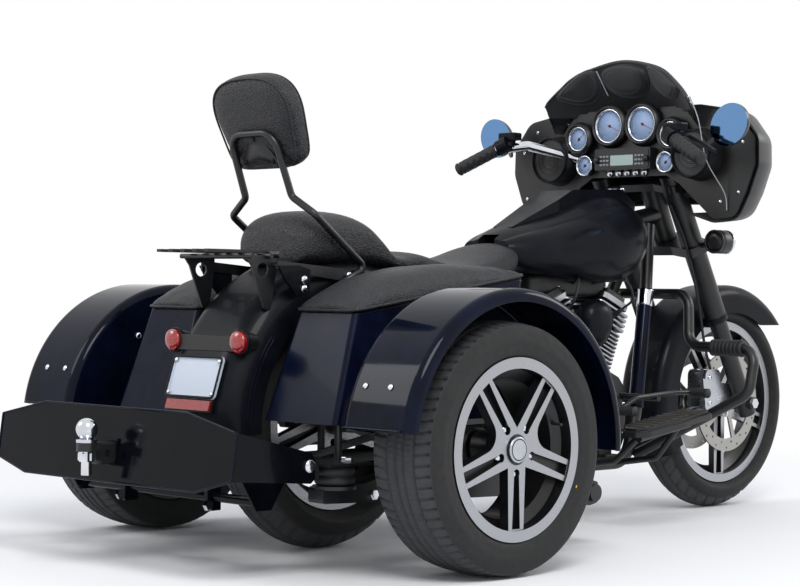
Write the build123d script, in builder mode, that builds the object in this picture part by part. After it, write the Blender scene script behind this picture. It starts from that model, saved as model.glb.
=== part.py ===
from build123d import *
import os
from math import atan, cos, degrees, hypot, radians, sin

os.makedirs("parts", exist_ok=True)

# Driving dimensions, mm. +X points forward, +Y to the rider's left, +Z up; the floor is z = 0
# and x = 0 is the middle of the length. "Right" pieces lie at -Y.
outer_axle_x, outer_axle_z = -641, 290
outer_wheel_y = 615
outer_tyre_r, outer_tyre_w = 290, 188
outer_seat_r, outer_flange_r, outer_rim_w = 190.5, 208, 180

rear_axle_x, rear_axle_z = -597, 318
rear_tyre_r, rear_tyre_w = 318, 178
rear_seat_r, rear_flange_r, rear_rim_w = 203, 219, 120

front_axle_x, front_axle_z = 1017, 320
front_tyre_r, front_tyre_w = 320, 130
front_seat_r, front_flange_r, front_rim_w = 228.5, 244, 96

rake = 26
steer_foot_x = 1187
leg_lean = 0.56
leg_y, leg_r = 128, 27
head_low_z, head_high_z = 812, 968

disc_r, disc_y, disc_t = 150, 66, 5
bead_fit = 0.05
axle_fit = 0.05
stem_r, front_pin_r, rear_pin_r, stub_r = 16, 12, 12, 17

fender_sheet = 3
fender_in_y, fender_out_y = 505, 716

rear_fender_r, rear_fender_y = 412, 130
crank_x, crank_z = 344, 300
bank_angle = 22.5

bag_wall = 5
lid_gap = 0.4
hinge_reach, hinge_r = 105, 4.5


def axis_point(z):
    """A point of the steering axis at height z."""
    return Vector(steer_foot_x - z * sin(radians(rake)) / cos(radians(rake)), 0, z)


steer_up = Vector(-sin(radians(rake)), 0, cos(radians(rake)))


def leg_point(z, y):
    """A point of a fork leg's centre line at height z."""
    return Vector(front_axle_x - leg_lean * (z - front_axle_z), y, z)


def radial_plane(x, z, angle):
    """The plane through a wheel axle at an angle from +X towards +Z; its x is the radius, its y is Y."""
    c, s = cos(radians(angle)), sin(radians(angle))
    return Plane(origin=(x, 0, z), x_dir=(c, 0, s), z_dir=(-s, 0, c))


def tube(points, tube_r, bend_r=0):
    """A round bar along straight runs joined by tangent arcs."""
    with BuildPart() as made:
        with BuildLine() as path:
            if bend_r:
                FilletPolyline(*points, radius=bend_r)
            else:
                Line(*points)
        with BuildSketch(Plane(origin=path.line @ 0, z_dir=path.line % 0)):
            Circle(tube_r)
        sweep()
    return made.part


def rod(start, end, rod_r):
    """A straight round bar from one point to another."""
    start, end = Vector(*start), Vector(*end)
    with BuildPart() as made:
        with BuildSketch(Plane(origin=start, z_dir=end - start)):
            Circle(rod_r)
        extrude(amount=(end - start).length)
    return made.part


def plate(outline, side_y, thickness, corner_r=0):
    """A flat plate standing in an XZ plane, from y = -side_y inward to y = -side_y + thickness."""
    with BuildPart() as made:
        with BuildSketch(Plane.XZ.offset(side_y)) as face:
            with BuildLine():
                Polyline(*outline, close=True)
            make_face()
            if corner_r:
                fillet(face.vertices(), corner_r)
        extrude(amount=-thickness)
    return made.part


def tyre(outer_r, width, seat_r, flange_r, rim_w, tread_half, crown_drop):
    """A tyre about the Y axis: bead, sidewall and crown, alike on both sides of its middle."""
    bead = rim_w / 2 - 6
    side_r = (outer_r + flange_r) / 2 - crown_drop / 4
    skin = 14
    with BuildPart() as made:
        with BuildSketch(Plane.XY):
            with BuildLine():
                crown = ThreePointArc(
                    (outer_r, 0),
                    (outer_r - crown_drop * 0.25, tread_half / 2),
                    (outer_r - crown_drop, tread_half),
                )
                side = ThreePointArc(crown @ 1, (side_r, width / 2), (flange_r + 3, rim_w / 2 - 1))
                foot = Polyline(
                    side @ 1,
                    (flange_r + 0.3, bead - bead_fit),
                    (seat_r + bead_fit, bead - bead_fit),
                    (seat_r + bead_fit, bead - 20),
                    (seat_r + 12, bead - 22),
                )
                wall = Line(foot @ 1, (outer_r - crown_drop - skin, width / 2 - skin))
                roof = Line(wall @ 1, (outer_r - skin, 0))
                Line(roof @ 1, crown @ 0)
            make_face()
            mirror(about=Plane.XZ)
        revolve(axis=Axis.Y)
    return made.part


def rim(seat_r, flange_r, rim_w, hub_r, hub_in, bore_r, arm_w, slot_w, face_in, arm_t, web_r):
    """A cast wheel about the Y axis, its face towards -Y: a stepped barrel and a star of five
    grooved spokes that run into each other in wide webs."""
    half, drop_r, shell = rim_w / 2, seat_r - 24, 8
    with BuildPart() as made:
        with BuildSketch(Plane.XY):
            with BuildLine():
                Polyline(
                    (flange_r, -half),
                    (flange_r, -half + 5),
                    (seat_r, -half + 6),
                    (seat_r, -half + 28),
                    (drop_r, -half + 40),
                    (drop_r, half - 40),
                    (seat_r, half - 28),
                    (seat_r, half - 6),
                    (flange_r, half - 5),
                    (flange_r, half),
                    (seat_r - shell, half),
                    (seat_r - shell, half - 30),
                    (drop_r - shell, half - 42),
                    (drop_r - shell, -half + 42),
                    (seat_r - shell, -half + 30),
                    (seat_r - shell, -half),
                    close=True,
                )
            make_face()
        revolve(axis=Axis.Y)
        with BuildSketch(Plane.XZ.offset(half - face_in)) as face:
            Circle(hub_r * 0.7)
            with PolarLocations(0, 5, start_angle=-90):
                Polygon(
                    (0, -arm_w * 0.56),
                    (seat_r - 5, -arm_w * 0.46),
                    (seat_r - 5, arm_w * 0.46),
                    (0, arm_w * 0.56),
                    align=None,
                )
            fillet(face.vertices().filter_by(lambda v: hub_r * 0.72 < hypot(v.X, v.Z) < hub_r + 25), web_r)
        extrude(amount=-arm_t)
        with BuildSketch(Plane.XZ.offset(half - face_in)):
            with PolarLocations(0, 5, start_angle=-90):
                Polygon(
                    (hub_r - 8, -slot_w * 0.4),
                    (seat_r - 12, -slot_w * 0.66),
                    (seat_r - 12, slot_w * 0.66),
                    (hub_r - 8, slot_w * 0.4),
                    align=None,
                )
            with PolarLocations(hub_r - 8, 5, start_angle=-90):
                Circle(slot_w * 0.5)
        extrude(amount=-arm_t * 0.6, mode=Mode.SUBTRACT)
        with BuildSketch(Plane.XZ.offset(half - face_in - arm_t)):
            Circle(hub_r * 0.62)
        extrude(amount=-(hub_in - arm_t))
        with BuildSketch(Plane.XZ.offset(half - face_in - 10)):
            Circle(bore_r)
        extrude(amount=-hub_in, mode=Mode.SUBTRACT)
        with BuildSketch(Plane.XZ.offset(half - face_in)):
            Circle(hub_r * 0.45)
        extrude(amount=8, taper=20)
    return made.part


# Wheels -------------------------------------------------------------------------------------

outer_tyre = tyre(outer_tyre_r, outer_tyre_w, outer_seat_r, outer_flange_r, outer_rim_w, 84, 8)
outer_rim = rim(outer_seat_r, outer_flange_r, outer_rim_w, 62, 110, stub_r + axle_fit, 54, 20, 4, 26, 40)
right_outer = Location((outer_axle_x, -outer_wheel_y, outer_axle_z))
left_outer = Location((outer_axle_x, outer_wheel_y, outer_axle_z))

with BuildPart() as outer_tyre_right:
    add(outer_tyre.moved(right_outer))

with BuildPart() as outer_rim_right:
    add(outer_rim.moved(right_outer))

with BuildPart() as outer_tyre_left:
    add(outer_tyre.moved(left_outer))

with BuildPart() as outer_rim_left:
    add(outer_rim.mirror(Plane.XZ).moved(left_outer))

rear_at = Location((rear_axle_x, 0, rear_axle_z))
with BuildPart() as rear_tyre:
    add(tyre(rear_tyre_r, rear_tyre_w, rear_seat_r, rear_flange_r, rear_rim_w, 62, 34).moved(rear_at))

rear_cast = rim(rear_seat_r, rear_flange_r, rear_rim_w, 60, 100, rear_pin_r + axle_fit, 54, 18, 12, 24, 40)
with BuildPart() as rear_rim:
    add(rear_cast.moved(rear_at))
    with BuildSketch(Plane.XZ.offset(70)):
        with Locations((rear_axle_x, rear_axle_z)):
            Circle(rear_pin_r + axle_fit)
    extrude(amount=-140, mode=Mode.SUBTRACT)

front_at = Location((front_axle_x, 0, front_axle_z))
with BuildPart() as front_tyre:
    add(tyre(front_tyre_r, front_tyre_w, front_seat_r, front_flange_r, front_rim_w, 48, 26).moved(front_at))

front_cast = rim(front_seat_r, front_flange_r, front_rim_w, 58, 72, front_pin_r + axle_fit, 50, 20, 10, 20, 44)
with BuildPart() as front_rim:
    add(front_cast.moved(front_at))
    with BuildSketch(Plane.XZ.offset(disc_y - disc_t)):
        with Locations((front_axle_x, front_axle_z)):
            Circle(42)
    extrude(amount=-2 * (disc_y - disc_t))
    with BuildSketch(Plane.XZ.offset(70)):
        with Locations((front_axle_x, front_axle_z)):
            Circle(front_pin_r + axle_fit)
    extrude(amount=-140, mode=Mode.SUBTRACT)

# Front brake discs: a drilled ring on five carrier arms, bolted to each end of the hub.
with BuildPart() as brake_discs:
    with BuildSketch(Plane.XZ.offset(disc_y)):
        with Locations((front_axle_x, front_axle_z)):
            Circle(disc_r)
            Circle(disc_r - 38, mode=Mode.SUBTRACT)
            Circle(46)
            Circle(24, mode=Mode.SUBTRACT)
            with PolarLocations(disc_r - 72, 5):
                Rectangle(76, 16)
            with PolarLocations(disc_r - 10, 16):
                Circle(3.5, mode=Mode.SUBTRACT)
            with PolarLocations(disc_r - 26, 16, start_angle=11):
                Circle(3.5, mode=Mode.SUBTRACT)
    extrude(amount=-disc_t)
    mirror(about=Plane.XZ)

# Frame and engine ---------------------------------------------------------------------------

head_r = 33
backbone_r, cradle_r, rail_r = 26, 18, 11
head_low, head_high = axis_point(head_low_z), axis_point(head_high_z)

down_tube = tube(
    [(690, -16, 845), (622, -62, 656), (534, -100, 310), (492, -100, 166), (-75, -100, 166), (-95, -100, 610)],
    cradle_r,
    70,
)
seat_rail = tube([(-95, -100, 610), (-170, -145, 640), (-690, -145, 640)], rail_r, 60)
with BuildPart() as frame:
    add(down_tube)
    add(seat_rail)
    mirror(about=Plane.XZ)
    for bar_x, bar_z in ((-92, 588), (-82, 330)):
        add(rod((bar_x, -100, bar_z), (bar_x, 100, bar_z), cradle_r - 3))
    add(rod((745, 0, 880), (20, 0, 741), backbone_r))
    add(rod((40, 0, 738), (-92, 0, 588), backbone_r - 12))
    add(rod(head_low, head_high, head_r))
    add(rod(head_low - 60 * steer_up, head_high + 60 * steer_up, stem_r + axle_fit), mode=Mode.SUBTRACT)

# The swingarm runs outside the rear tyre and carries the rear axle.
with BuildPart() as swingarm:
    add(plate([(-84, 355), (-84, 300), (-560, 290), (-625, 295), (-625, 342), (-560, 346)], 124, 24, 8))
    mirror(about=Plane.XZ)
    add(rod((rear_axle_x, -132, rear_axle_z), (rear_axle_x, 132, rear_axle_z), rear_pin_r))
    add(rod((-150, -101, 328), (-150, 101, 328), 22))
    add(frame.part, mode=Mode.SUBTRACT)

engine_half = 80
with BuildPart() as crankcase:
    with BuildSketch(Plane.XZ.offset(engine_half)) as case_face:
        with BuildLine():
            Polyline(
                (crank_x, crank_z + 162.4),
                (crank_x + 136, crank_z + 106),
                (crank_x + 178, crank_z + 60),
                (crank_x + 178, crank_z - 40),
                (crank_x + 150, crank_z - 92),
                (-20, crank_z - 92),
                (-55, crank_z - 60),
                (-55, crank_z + 90),
                (20, crank_z + 130),
                (crank_x - 170, crank_z + 100),
                (crank_x - 136, crank_z + 106),
                close=True,
            )
        make_face()
    extrude(amount=-2 * engine_half)
    for foot_w, foot_h in ((200, 22), (150, 44)):
        with BuildSketch(Plane.XY.offset(168)):
            with Locations((430, 0), (10, 0)):
                Rectangle(56, foot_w)
        extrude(amount=foot_h)
    add(frame.part, mode=Mode.SUBTRACT)

# The primary chain case lies on the right, the cam cover on the left.
primary_y, primary_t = 172, 92
with BuildPart() as engine_covers:
    with BuildSketch(Plane.XZ.offset(engine_half)):
        with Locations((195, 300)):
            SlotCenterToCenter(250, 176)
        with Locations((70, 302)):
            Circle(104)
    extrude(amount=primary_t)
    fillet(engine_covers.faces().sort_by(Axis.Y)[0].edges(), 16)
    with BuildSketch(Plane.XZ.offset(engine_half + primary_t)):
        with Locations((70, 302)):
            Circle(74)
        with Locations((262, 300)):
            SlotOverall(120, 62)
    extrude(amount=8)
    with BuildSketch(Plane.XZ.offset(-engine_half)):
        with Locations((crank_x, 296)):
            Circle(86)
        with Locations((crank_x - 90, 300)):
            Circle(64)
    extrude(amount=-46)
    fillet(engine_covers.faces().sort_by(Axis.Y)[-1].edges(), 12)

fin_count, fin_pitch, fin_t = 9, 12, 4
fin_start = 166


def bank_plane(side, along):
    """The plane across a cylinder, `along` up its axis from the crank; side is +1 front, -1 rear."""
    lean = radians(bank_angle) * side
    axis = Vector(sin(lean), 0, cos(lean))
    return Plane(origin=Vector(crank_x, 0, crank_z) + along * axis, x_dir=(0, 1, 0), z_dir=axis)


with BuildPart() as cylinders:
    for side in (1, -1):
        with BuildSketch(bank_plane(side, 150)):
            Circle(54)
        extrude(amount=124)
        for fin in range(fin_count):
            with BuildSketch(bank_plane(side, fin_start + fin * fin_pitch)):
                RectangleRounded(136, 132, 16)
            extrude(amount=fin_t)
    add(crankcase.part, mode=Mode.SUBTRACT)

with BuildPart() as cylinder_heads:
    for side in (1, -1):
        with BuildSketch(bank_plane(side, 274)):
            RectangleRounded(108, 104, 14)
        extrude(amount=66)
        for fin in range(4):
            with BuildSketch(bank_plane(side, 278 + fin * 15)):
                RectangleRounded(150, 138, 16)
            extrude(amount=fin_t + 1)
        with BuildSketch(bank_plane(side, 340)):
            RectangleRounded(146, 126, 22)
        extrude(amount=16)
        with BuildSketch(bank_plane(side, 356)):
            RectangleRounded(134, 112, 22)
        extrude(amount=18, taper=16)

# Pushrod tubes climb from the cam cover to the heads on the left.
with BuildPart() as pushrod_tubes:
    for foot_x, top_x in ((crank_x + 26, crank_x + 92), (crank_x + 50, crank_x + 124),
                          (crank_x - 26, crank_x - 92), (crank_x - 50, crank_x - 124)):
        add(rod((foot_x, 94, 350), (top_x, 94, 592), 8))
    add(engine_covers.part, mode=Mode.SUBTRACT)
    add(cylinder_heads.part, mode=Mode.SUBTRACT)

# A domed horn cover hangs between the cylinders on the right.
with BuildPart() as horn_cover:
    with BuildSketch(Plane.XZ.offset(136)) as horn_face:
        with BuildLine():
            Polyline((226, 560), (244, 612), (286, 630), (328, 612), (350, 560), (334, 508), (300, 494), (250, 500),
                     close=True)
        make_face()
        fillet(horn_face.vertices(), 14)
    extrude(amount=46, taper=12)
    fillet(horn_cover.faces().sort_by(Axis.Y)[0].edges(), 12)
    with BuildSketch(Plane.XZ.offset(20)):
        with Locations((290, 580)):
            Circle(22)
    extrude(amount=116)
    add(cylinders.part, mode=Mode.SUBTRACT)
    add(cylinder_heads.part, mode=Mode.SUBTRACT)

with BuildPart() as air_cleaner:
    with BuildSketch(Plane.XZ.offset(-150)):
        with Locations((crank_x, 560)):
            Circle(84)
    extrude(amount=-56)
    fillet(air_cleaner.faces().sort_by(Axis.Y)[-1].edges(), 18)
    with BuildSketch(Plane.XZ.offset(-20)):
        with Locations((crank_x, 590)):
            Circle(24)
    extrude(amount=-130)
    add(rod((crank_x - 56, 0, 590), (crank_x + 56, 0, 590), 20))
    add(cylinders.part, mode=Mode.SUBTRACT)
    add(cylinder_heads.part, mode=Mode.SUBTRACT)
    add(horn_cover.part, mode=Mode.SUBTRACT)

# Both header pipes lie on the left and run back into one muffler.
with BuildPart() as exhaust:
    add(tube([(505, 75, 570), (505, 164, 570), (508, 164, 240), (90, 164, 240), (60, 310, 262), (20, 310, 262)],
             20, 45))
    add(tube([(180, 75, 566), (180, 164, 566), (166, 164, 250)], 20, 45))
    add(rod((40, 310, 262), (-250, 310, 262), 42))

# Fuel tank, console and seat ----------------------------------------------------------------


tank_sections = (
    # x, half width, bottom z, top z
    (6, 84, 735, 790),
    (160, 150, 694, 852),
    (330, 176, 678, 908),
    (500, 156, 698, 924),
    (584, 94, 756, 886),
    (634, 36, 800, 850),
)
with BuildPart() as fuel_tank:
    for x, half_w, low, high in tank_sections:
        mid, brow, shoulder = low + (high - low) * 0.45, high - (high - low) * 0.16, half_w * 0.62
        with BuildSketch(Plane(origin=(x, 0, 0), x_dir=(0, 1, 0), z_dir=(1, 0, 0))):
            with BuildLine():
                base = Line((-shoulder, low), (shoulder, low))
                cheek = ThreePointArc(base @ 1, (half_w, mid), (shoulder, brow))
                crown = ThreePointArc(cheek @ 1, (0, high), (-shoulder, brow))
                ThreePointArc(crown @ 1, (-half_w, mid), base @ 0)
            make_face()
    loft()
    with BuildSketch(Plane.YZ.offset(-20)):
        with Locations((0, 740)):
            Rectangle(2 * backbone_r + 8, 120)
    extrude(amount=690, mode=Mode.SUBTRACT)
    add(rod((760, 0, 883), (-10, 0, 735), backbone_r + 4), mode=Mode.SUBTRACT)

console_half_w = 60
with BuildPart() as tank_console:
    with BuildSketch(Plane.XZ.offset(console_half_w)):
        with BuildLine():
            Polyline((80, 802), (160, 834), (330, 886), (500, 902), (590, 862), (606, 904), (520, 944), (300, 932),
                     (70, 822), close=True)
        make_face()
    extrude(amount=-2 * console_half_w)
    fillet(tank_console.edges().filter_by(GeomType.LINE).group_by(Axis.Z)[-1], 10)
    with BuildSketch(Plane.XY.offset(700)) as console_plan:
        with BuildLine():
            Polyline((60, -34), (240, -56), (480, -52), (612, -34), (612, 34), (480, 52), (240, 56), (60, 34),
                     close=True)
        make_face()
        fillet(console_plan.vertices(), 20)
    extrude(amount=300, mode=Mode.INTERSECT)
    add(rod((760, 0, 883), (-10, 0, 735), backbone_r + 4), mode=Mode.SUBTRACT)
    add(fuel_tank.part, mode=Mode.SUBTRACT)

seat_half_w = 165
with BuildPart() as seat:
    with BuildSketch(Plane.XZ.offset(seat_half_w)):
        with BuildLine():
            back = Line((-766, 700), (-774, 786))
            crown = ThreePointArc(back @ 1, (-660, 838), (-540, 812))
            step = ThreePointArc(crown @ 1, (-502, 770), (-470, 730))
            dish = Spline(step @ 1, (-400, 742), (-300, 720), (-200, 716), (-60, 762))
            nose = Line(dish @ 1, (24, 786))
            Polyline(nose @ 1, (36, 750), (34, 700), (-60, 668), (-260, 656), (-480, 700), back @ 0)
        make_face()
    extrude(amount=-2 * seat_half_w)
    with BuildSketch(Plane.XY.offset(640)) as seat_plan:
        with BuildLine():
            Polyline((-784, -104), (-744, -132), (-560, -138), (-420, -164), (-300, -164), (-160, -154), (36, -114),
                     (36, 114), (-160, 154), (-300, 164), (-420, 164), (-560, 138), (-744, 132), (-784, 104),
                     close=True)
        make_face()
        fillet(seat_plan.vertices(), 24)
    extrude(amount=240, mode=Mode.INTERSECT)
    with BuildSketch(Plane.XZ.offset(rear_fender_y + 3)):
        with Locations((rear_axle_x, rear_axle_z)):
            Circle(rear_fender_r + 0.3)
    extrude(amount=-2 * (rear_fender_y + 3), mode=Mode.SUBTRACT)
    add(fuel_tank.part, mode=Mode.SUBTRACT)
    add(frame.part, mode=Mode.SUBTRACT)

# Rear fender, rack and backrest -------------------------------------------------------------

rear_axle = Axis((rear_axle_x, 0, rear_axle_z), (0, 1, 0))
rear_start, rear_end = 52, 183
fender_low_r, fender_crown_bend = 306, 64
with BuildPart() as rear_fender:
    with BuildSketch(radial_plane(rear_axle_x, rear_axle_z, rear_end)):
        with BuildLine():
            FilletPolyline(
                (fender_low_r, -rear_fender_y),
                (rear_fender_r, -rear_fender_y),
                (rear_fender_r, rear_fender_y),
                (fender_low_r, rear_fender_y),
                radius=fender_crown_bend,
            )
            offset(amount=-fender_sheet, side=Side.LEFT)
        make_face()
    revolve(axis=rear_axle, revolution_arc=rear_end - rear_start)

# The fender's solid outline, which what is bolted on it is coped to.
with BuildPart() as fender_core:
    with BuildSketch(radial_plane(rear_axle_x, rear_axle_z, rear_end)) as core_cut:
        with Locations((rear_fender_r / 2, 0)):
            Rectangle(rear_fender_r, 2 * rear_fender_y)
        fillet(core_cut.vertices().sort_by(Axis.X)[-2:], fender_crown_bend)
    revolve(axis=rear_axle, revolution_arc=rear_end - rear_start)



def tail_x(z):
    """Where the fender's back stands at a height."""
    return rear_axle_x - (rear_fender_r**2 - (z - rear_axle_z)**2) ** 0.5


lamp_y, lamp_z, lamp_r = 121, 519, 26
lamp_x = tail_x(lamp_z) - 17
# The licence plate hangs on a bracket that leans with the fender's tail.
plate_lean = atan((1019 - 983) / (481 - 368))
plate_w, plate_h, plate_z = 184, 106, 434
reflector_w, reflector_h = 160, 24
plate_frame = Plane(
    origin=(tail_x(plate_z) - 9, 0, plate_z),
    x_dir=(0, -1, 0),
    z_dir=(-cos(plate_lean), 0, sin(plate_lean)),
)
with BuildPart() as tail_lamp_bar:
    with BuildSketch(Plane.YZ.offset(lamp_x + 12)):
        with Locations((-lamp_y, lamp_z), (lamp_y, lamp_z)):
            Circle(lamp_r + 3)
    extrude(amount=40, taper=14)
    with BuildSketch(Plane.YZ.offset(lamp_x + 4)):
        with Locations((0, lamp_z - 4)):
            Rectangle(2 * lamp_y, 36)
        with Locations((-lamp_y, lamp_z), (lamp_y, lamp_z)):
            Circle(lamp_r + 0.3, mode=Mode.SUBTRACT)
    extrude(amount=60)
    with BuildSketch(plate_frame.offset(-3)):
        RectangleRounded(plate_w - 40, plate_h - 20, 8)
    extrude(amount=-5)
    with BuildSketch(plate_frame.offset(-8)):
        Rectangle(70, 70)
    extrude(amount=-40)
    with BuildSketch(plate_frame.offset(-3)):
        with Locations((0, -(plate_h + reflector_h) / 2 - 3)):
            Rectangle(reflector_w + 6, reflector_h + 4)
        with Locations((0, -plate_h / 2)):
            Rectangle(60, 40)
    extrude(amount=-6)
    add(fender_core.part, mode=Mode.SUBTRACT)

with BuildPart() as licence_plate:
    with BuildSketch(plate_frame):
        RectangleRounded(plate_w - 2, plate_h - 2, 11)
    extrude(amount=-3)
    with BuildSketch(plate_frame):
        RectangleRounded(plate_w, plate_h, 12)
        RectangleRounded(plate_w - 14, plate_h - 14, 8, mode=Mode.SUBTRACT)
    extrude(amount=4)

# Two round red lenses and the reflector bar under the plate.
with BuildPart() as tail_lenses:
    with BuildSketch(Plane.YZ.offset(lamp_x + 12)):
        with Locations((-lamp_y, lamp_z), (lamp_y, lamp_z)):
            Circle(lamp_r)
    extrude(amount=-16)
    fillet(tail_lenses.faces().sort_by(Axis.X)[:2].edges(), 12)
    with BuildSketch(plate_frame.offset(-3)):
        with Locations((0, -(plate_h + reflector_h) / 2 - 3)):
            Rectangle(reflector_w, reflector_h)
    extrude(amount=5)

# The luggage rack: a hooped rail with slats on two V-shaped side plates.
rack_y, rack_z, rack_front, rack_back = 132, 727, -862, -1040
with BuildPart() as luggage_rack:
    with BuildLine() as rack_path:
        FilletPolyline((rack_front, -rack_y, rack_z), (rack_back, -rack_y, rack_z),
                       (rack_back, rack_y, rack_z), (rack_front, rack_y, rack_z), radius=34)
    with BuildSketch(Plane(origin=rack_path.line @ 0, z_dir=rack_path.line % 0)):
        Circle(8)
    sweep()
    add(rod((rack_front + 8, -rack_y - 4, rack_z - 1), (rack_front + 8, rack_y + 4, rack_z - 1), 8))
    with BuildSketch(Plane.XY.offset(rack_z + 2.5)):
        with Locations(((rack_front + rack_back) / 2, 0)):
            with GridLocations(0, 44, 1, 5):
                Rectangle(rack_front - rack_back + 8, 16)
    extrude(amount=7)
    for cross_at in (-880, -940):
        add(rod((cross_at, -rack_y, rack_z - 5), (cross_at, rack_y, rack_z - 5), 6))
    for side_y in (-117, 112):
        add(plate([(-852, 724), (-950, 724), (-930, 700), (-888, 596), (-868, 596), (-852, 690)], -side_y, 5, 6))
    for side_y in (-143, 138):
        add(plate([(-870, 712), (-870, 690), (-600, 660), (-582, 690)], -side_y, 5, 6))
    for side in (1, -1):
        add(rod((-862, side * 112, 702), (-862, side * 143, 702), 6))
    with BuildSketch(Plane.XZ.offset(125)):
        with Locations((-894, 690)):
            Circle(19)
    extrude(amount=-250, mode=Mode.SUBTRACT)
    for side_y in (-117, 112):
        with BuildSketch(Plane.XZ.offset(-side_y)):
            with Locations((-894, 690)):
                Circle(24)
                Circle(17, mode=Mode.SUBTRACT)
        extrude(amount=-5)
    add(fender_core.part, mode=Mode.SUBTRACT)

with BuildPart() as sissy_bar:
    with BuildLine() as bar_path:
        FilletPolyline(
            (-690, -150, 650), (-590, -150, 700), (-763, -152, 826), (-777, -85, 868), (-835, -78, 1016),
            (-835, 78, 1016), (-777, 85, 868), (-763, 152, 826), (-590, 150, 700), (-690, 150, 650),
            radius=14,
        )
    with BuildSketch(Plane(origin=bar_path.line @ 0, z_dir=bar_path.line % 0)):
        Circle(9)
    sweep()
    add(frame.part, mode=Mode.SUBTRACT)
    add(luggage_rack.part, mode=Mode.SUBTRACT)

# The backrest pad lies on the bar's two uprights and leans with them.
bar_lean = atan((835 - 777) / (1016 - 868))
pad_w, pad_h, pad_t = 296, 236, 80
bar_normal = Vector(cos(bar_lean), 0, sin(bar_lean))
with BuildPart() as backrest_pad:
    pad_back = Vector(-835, 0, 1016) + 9.3 * bar_normal
    with BuildSketch(Plane(origin=pad_back, x_dir=(0, 1, 0), z_dir=bar_normal)):
        with Locations((0, 14)):
            RectangleRounded(pad_w, pad_h, 62)
    extrude(amount=pad_t)
    fillet(backrest_pad.faces().filter_by(Plane(origin=pad_back, z_dir=bar_normal)).edges(), 22)

# Saddlebags and their lids ------------------------------------------------------------------

bag_low_z, bag_y = 338, 282
bag_slope = atan((680 - 590) / (842 - 266))
mouth_x, mouth_z, mouth_l, mouth_w = -554, 635, 582, 198
floor_x, floor_l, floor_w = -632, 585, 250
mouth = Plane(
    origin=(mouth_x, -bag_y, mouth_z),
    x_dir=(cos(bag_slope), 0, sin(bag_slope)),
    z_dir=(-sin(bag_slope), 0, cos(bag_slope)),
)
with BuildPart() as saddlebags:
    with BuildSketch(Plane((floor_x, -bag_y, bag_low_z))):
        RectangleRounded(floor_l, floor_w, 16)
    with BuildSketch(mouth):
        RectangleRounded(mouth_l, mouth_w, 16)
    loft()
    with BuildSketch(Plane((floor_x, -bag_y, bag_low_z + bag_wall))):
        RectangleRounded(floor_l - 2 * bag_wall - 2, floor_w - 2 * bag_wall, 11)
    with BuildSketch(mouth.offset(0.01)):
        RectangleRounded(mouth_l - 2 * bag_wall, mouth_w - 2 * bag_wall, 11)
    loft(mode=Mode.SUBTRACT)
    mirror(about=Plane.XZ)

# The lid is a low cushion: its crown rises from the tail end and falls away towards the front.
lid_h = 72
lid_crown = ((-294, 14), (-268, 34), (-200, 60), (-120, 71), (0, 68), (120, 56), (220, 34), (294, 14))
lid_side = Plane(
    origin=mouth.origin + lid_gap * mouth.z_dir + Vector(0, -mouth_w, 0),
    x_dir=mouth.x_dir,
    z_dir=(0, -1, 0),
)
with BuildPart() as bag_lid_right:
    with BuildSketch(mouth.offset(lid_gap)):
        RectangleRounded(mouth_l + 8, mouth_w + 8, 22)
    extrude(amount=14)
    with BuildSketch(mouth.offset(lid_gap + 14)):
        RectangleRounded(mouth_l + 4, mouth_w + 4, 22)
    extrude(amount=lid_h - 14, taper=36)
    with BuildSketch(lid_side):
        with BuildLine():
            crown = Spline(*lid_crown)
            Polyline(crown @ 1, (300, 14), (300, 0), (-300, 0), (-300, 14), crown @ 0)
        make_face()
    extrude(amount=-2 * mouth_w, mode=Mode.INTERSECT)
    with BuildSketch(mouth.offset(lid_gap)):
        RectangleRounded(mouth_l - 8, mouth_w - 8, 16)
    extrude(amount=9, mode=Mode.SUBTRACT)
    for along in (-180, 0, 180):
        knuckle = mouth.origin + along * mouth.x_dir + Vector(0, -hinge_reach, 0)
        add(rod(knuckle - 30 * mouth.x_dir, knuckle + 30 * mouth.x_dir, hinge_r))

with BuildPart() as bag_lid_left:
    add(bag_lid_right.part.mirror(Plane.XZ))

# Outer fenders ------------------------------------------------------------------------------

fender_crown_r, fender_hem_r, fender_wall_r, fender_bend = 364, 334, 188, 22
right_axle = Axis((outer_axle_x, 0, outer_axle_z), (0, 1, 0))
outer_start, outer_end = -3, 172
with BuildPart() as outer_fender_right:
    with BuildSketch(radial_plane(outer_axle_x, outer_axle_z, outer_end)):
        with BuildLine():
            FilletPolyline(
                (fender_wall_r, -fender_in_y),
                (fender_crown_r, -fender_in_y),
                (fender_crown_r, -fender_out_y),
                (fender_hem_r, -fender_out_y),
                radius=fender_bend,
            )
            offset(amount=fender_sheet, side=Side.RIGHT)
        make_face()
    revolve(axis=right_axle, revolution_arc=outer_end - outer_start)

with BuildPart() as outer_fender_left:
    add(outer_fender_right.part.mirror(Plane.XZ))

# The outrigger kit: subframe, trailing arms, air springs, bumper and towing gear ---------------

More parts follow.
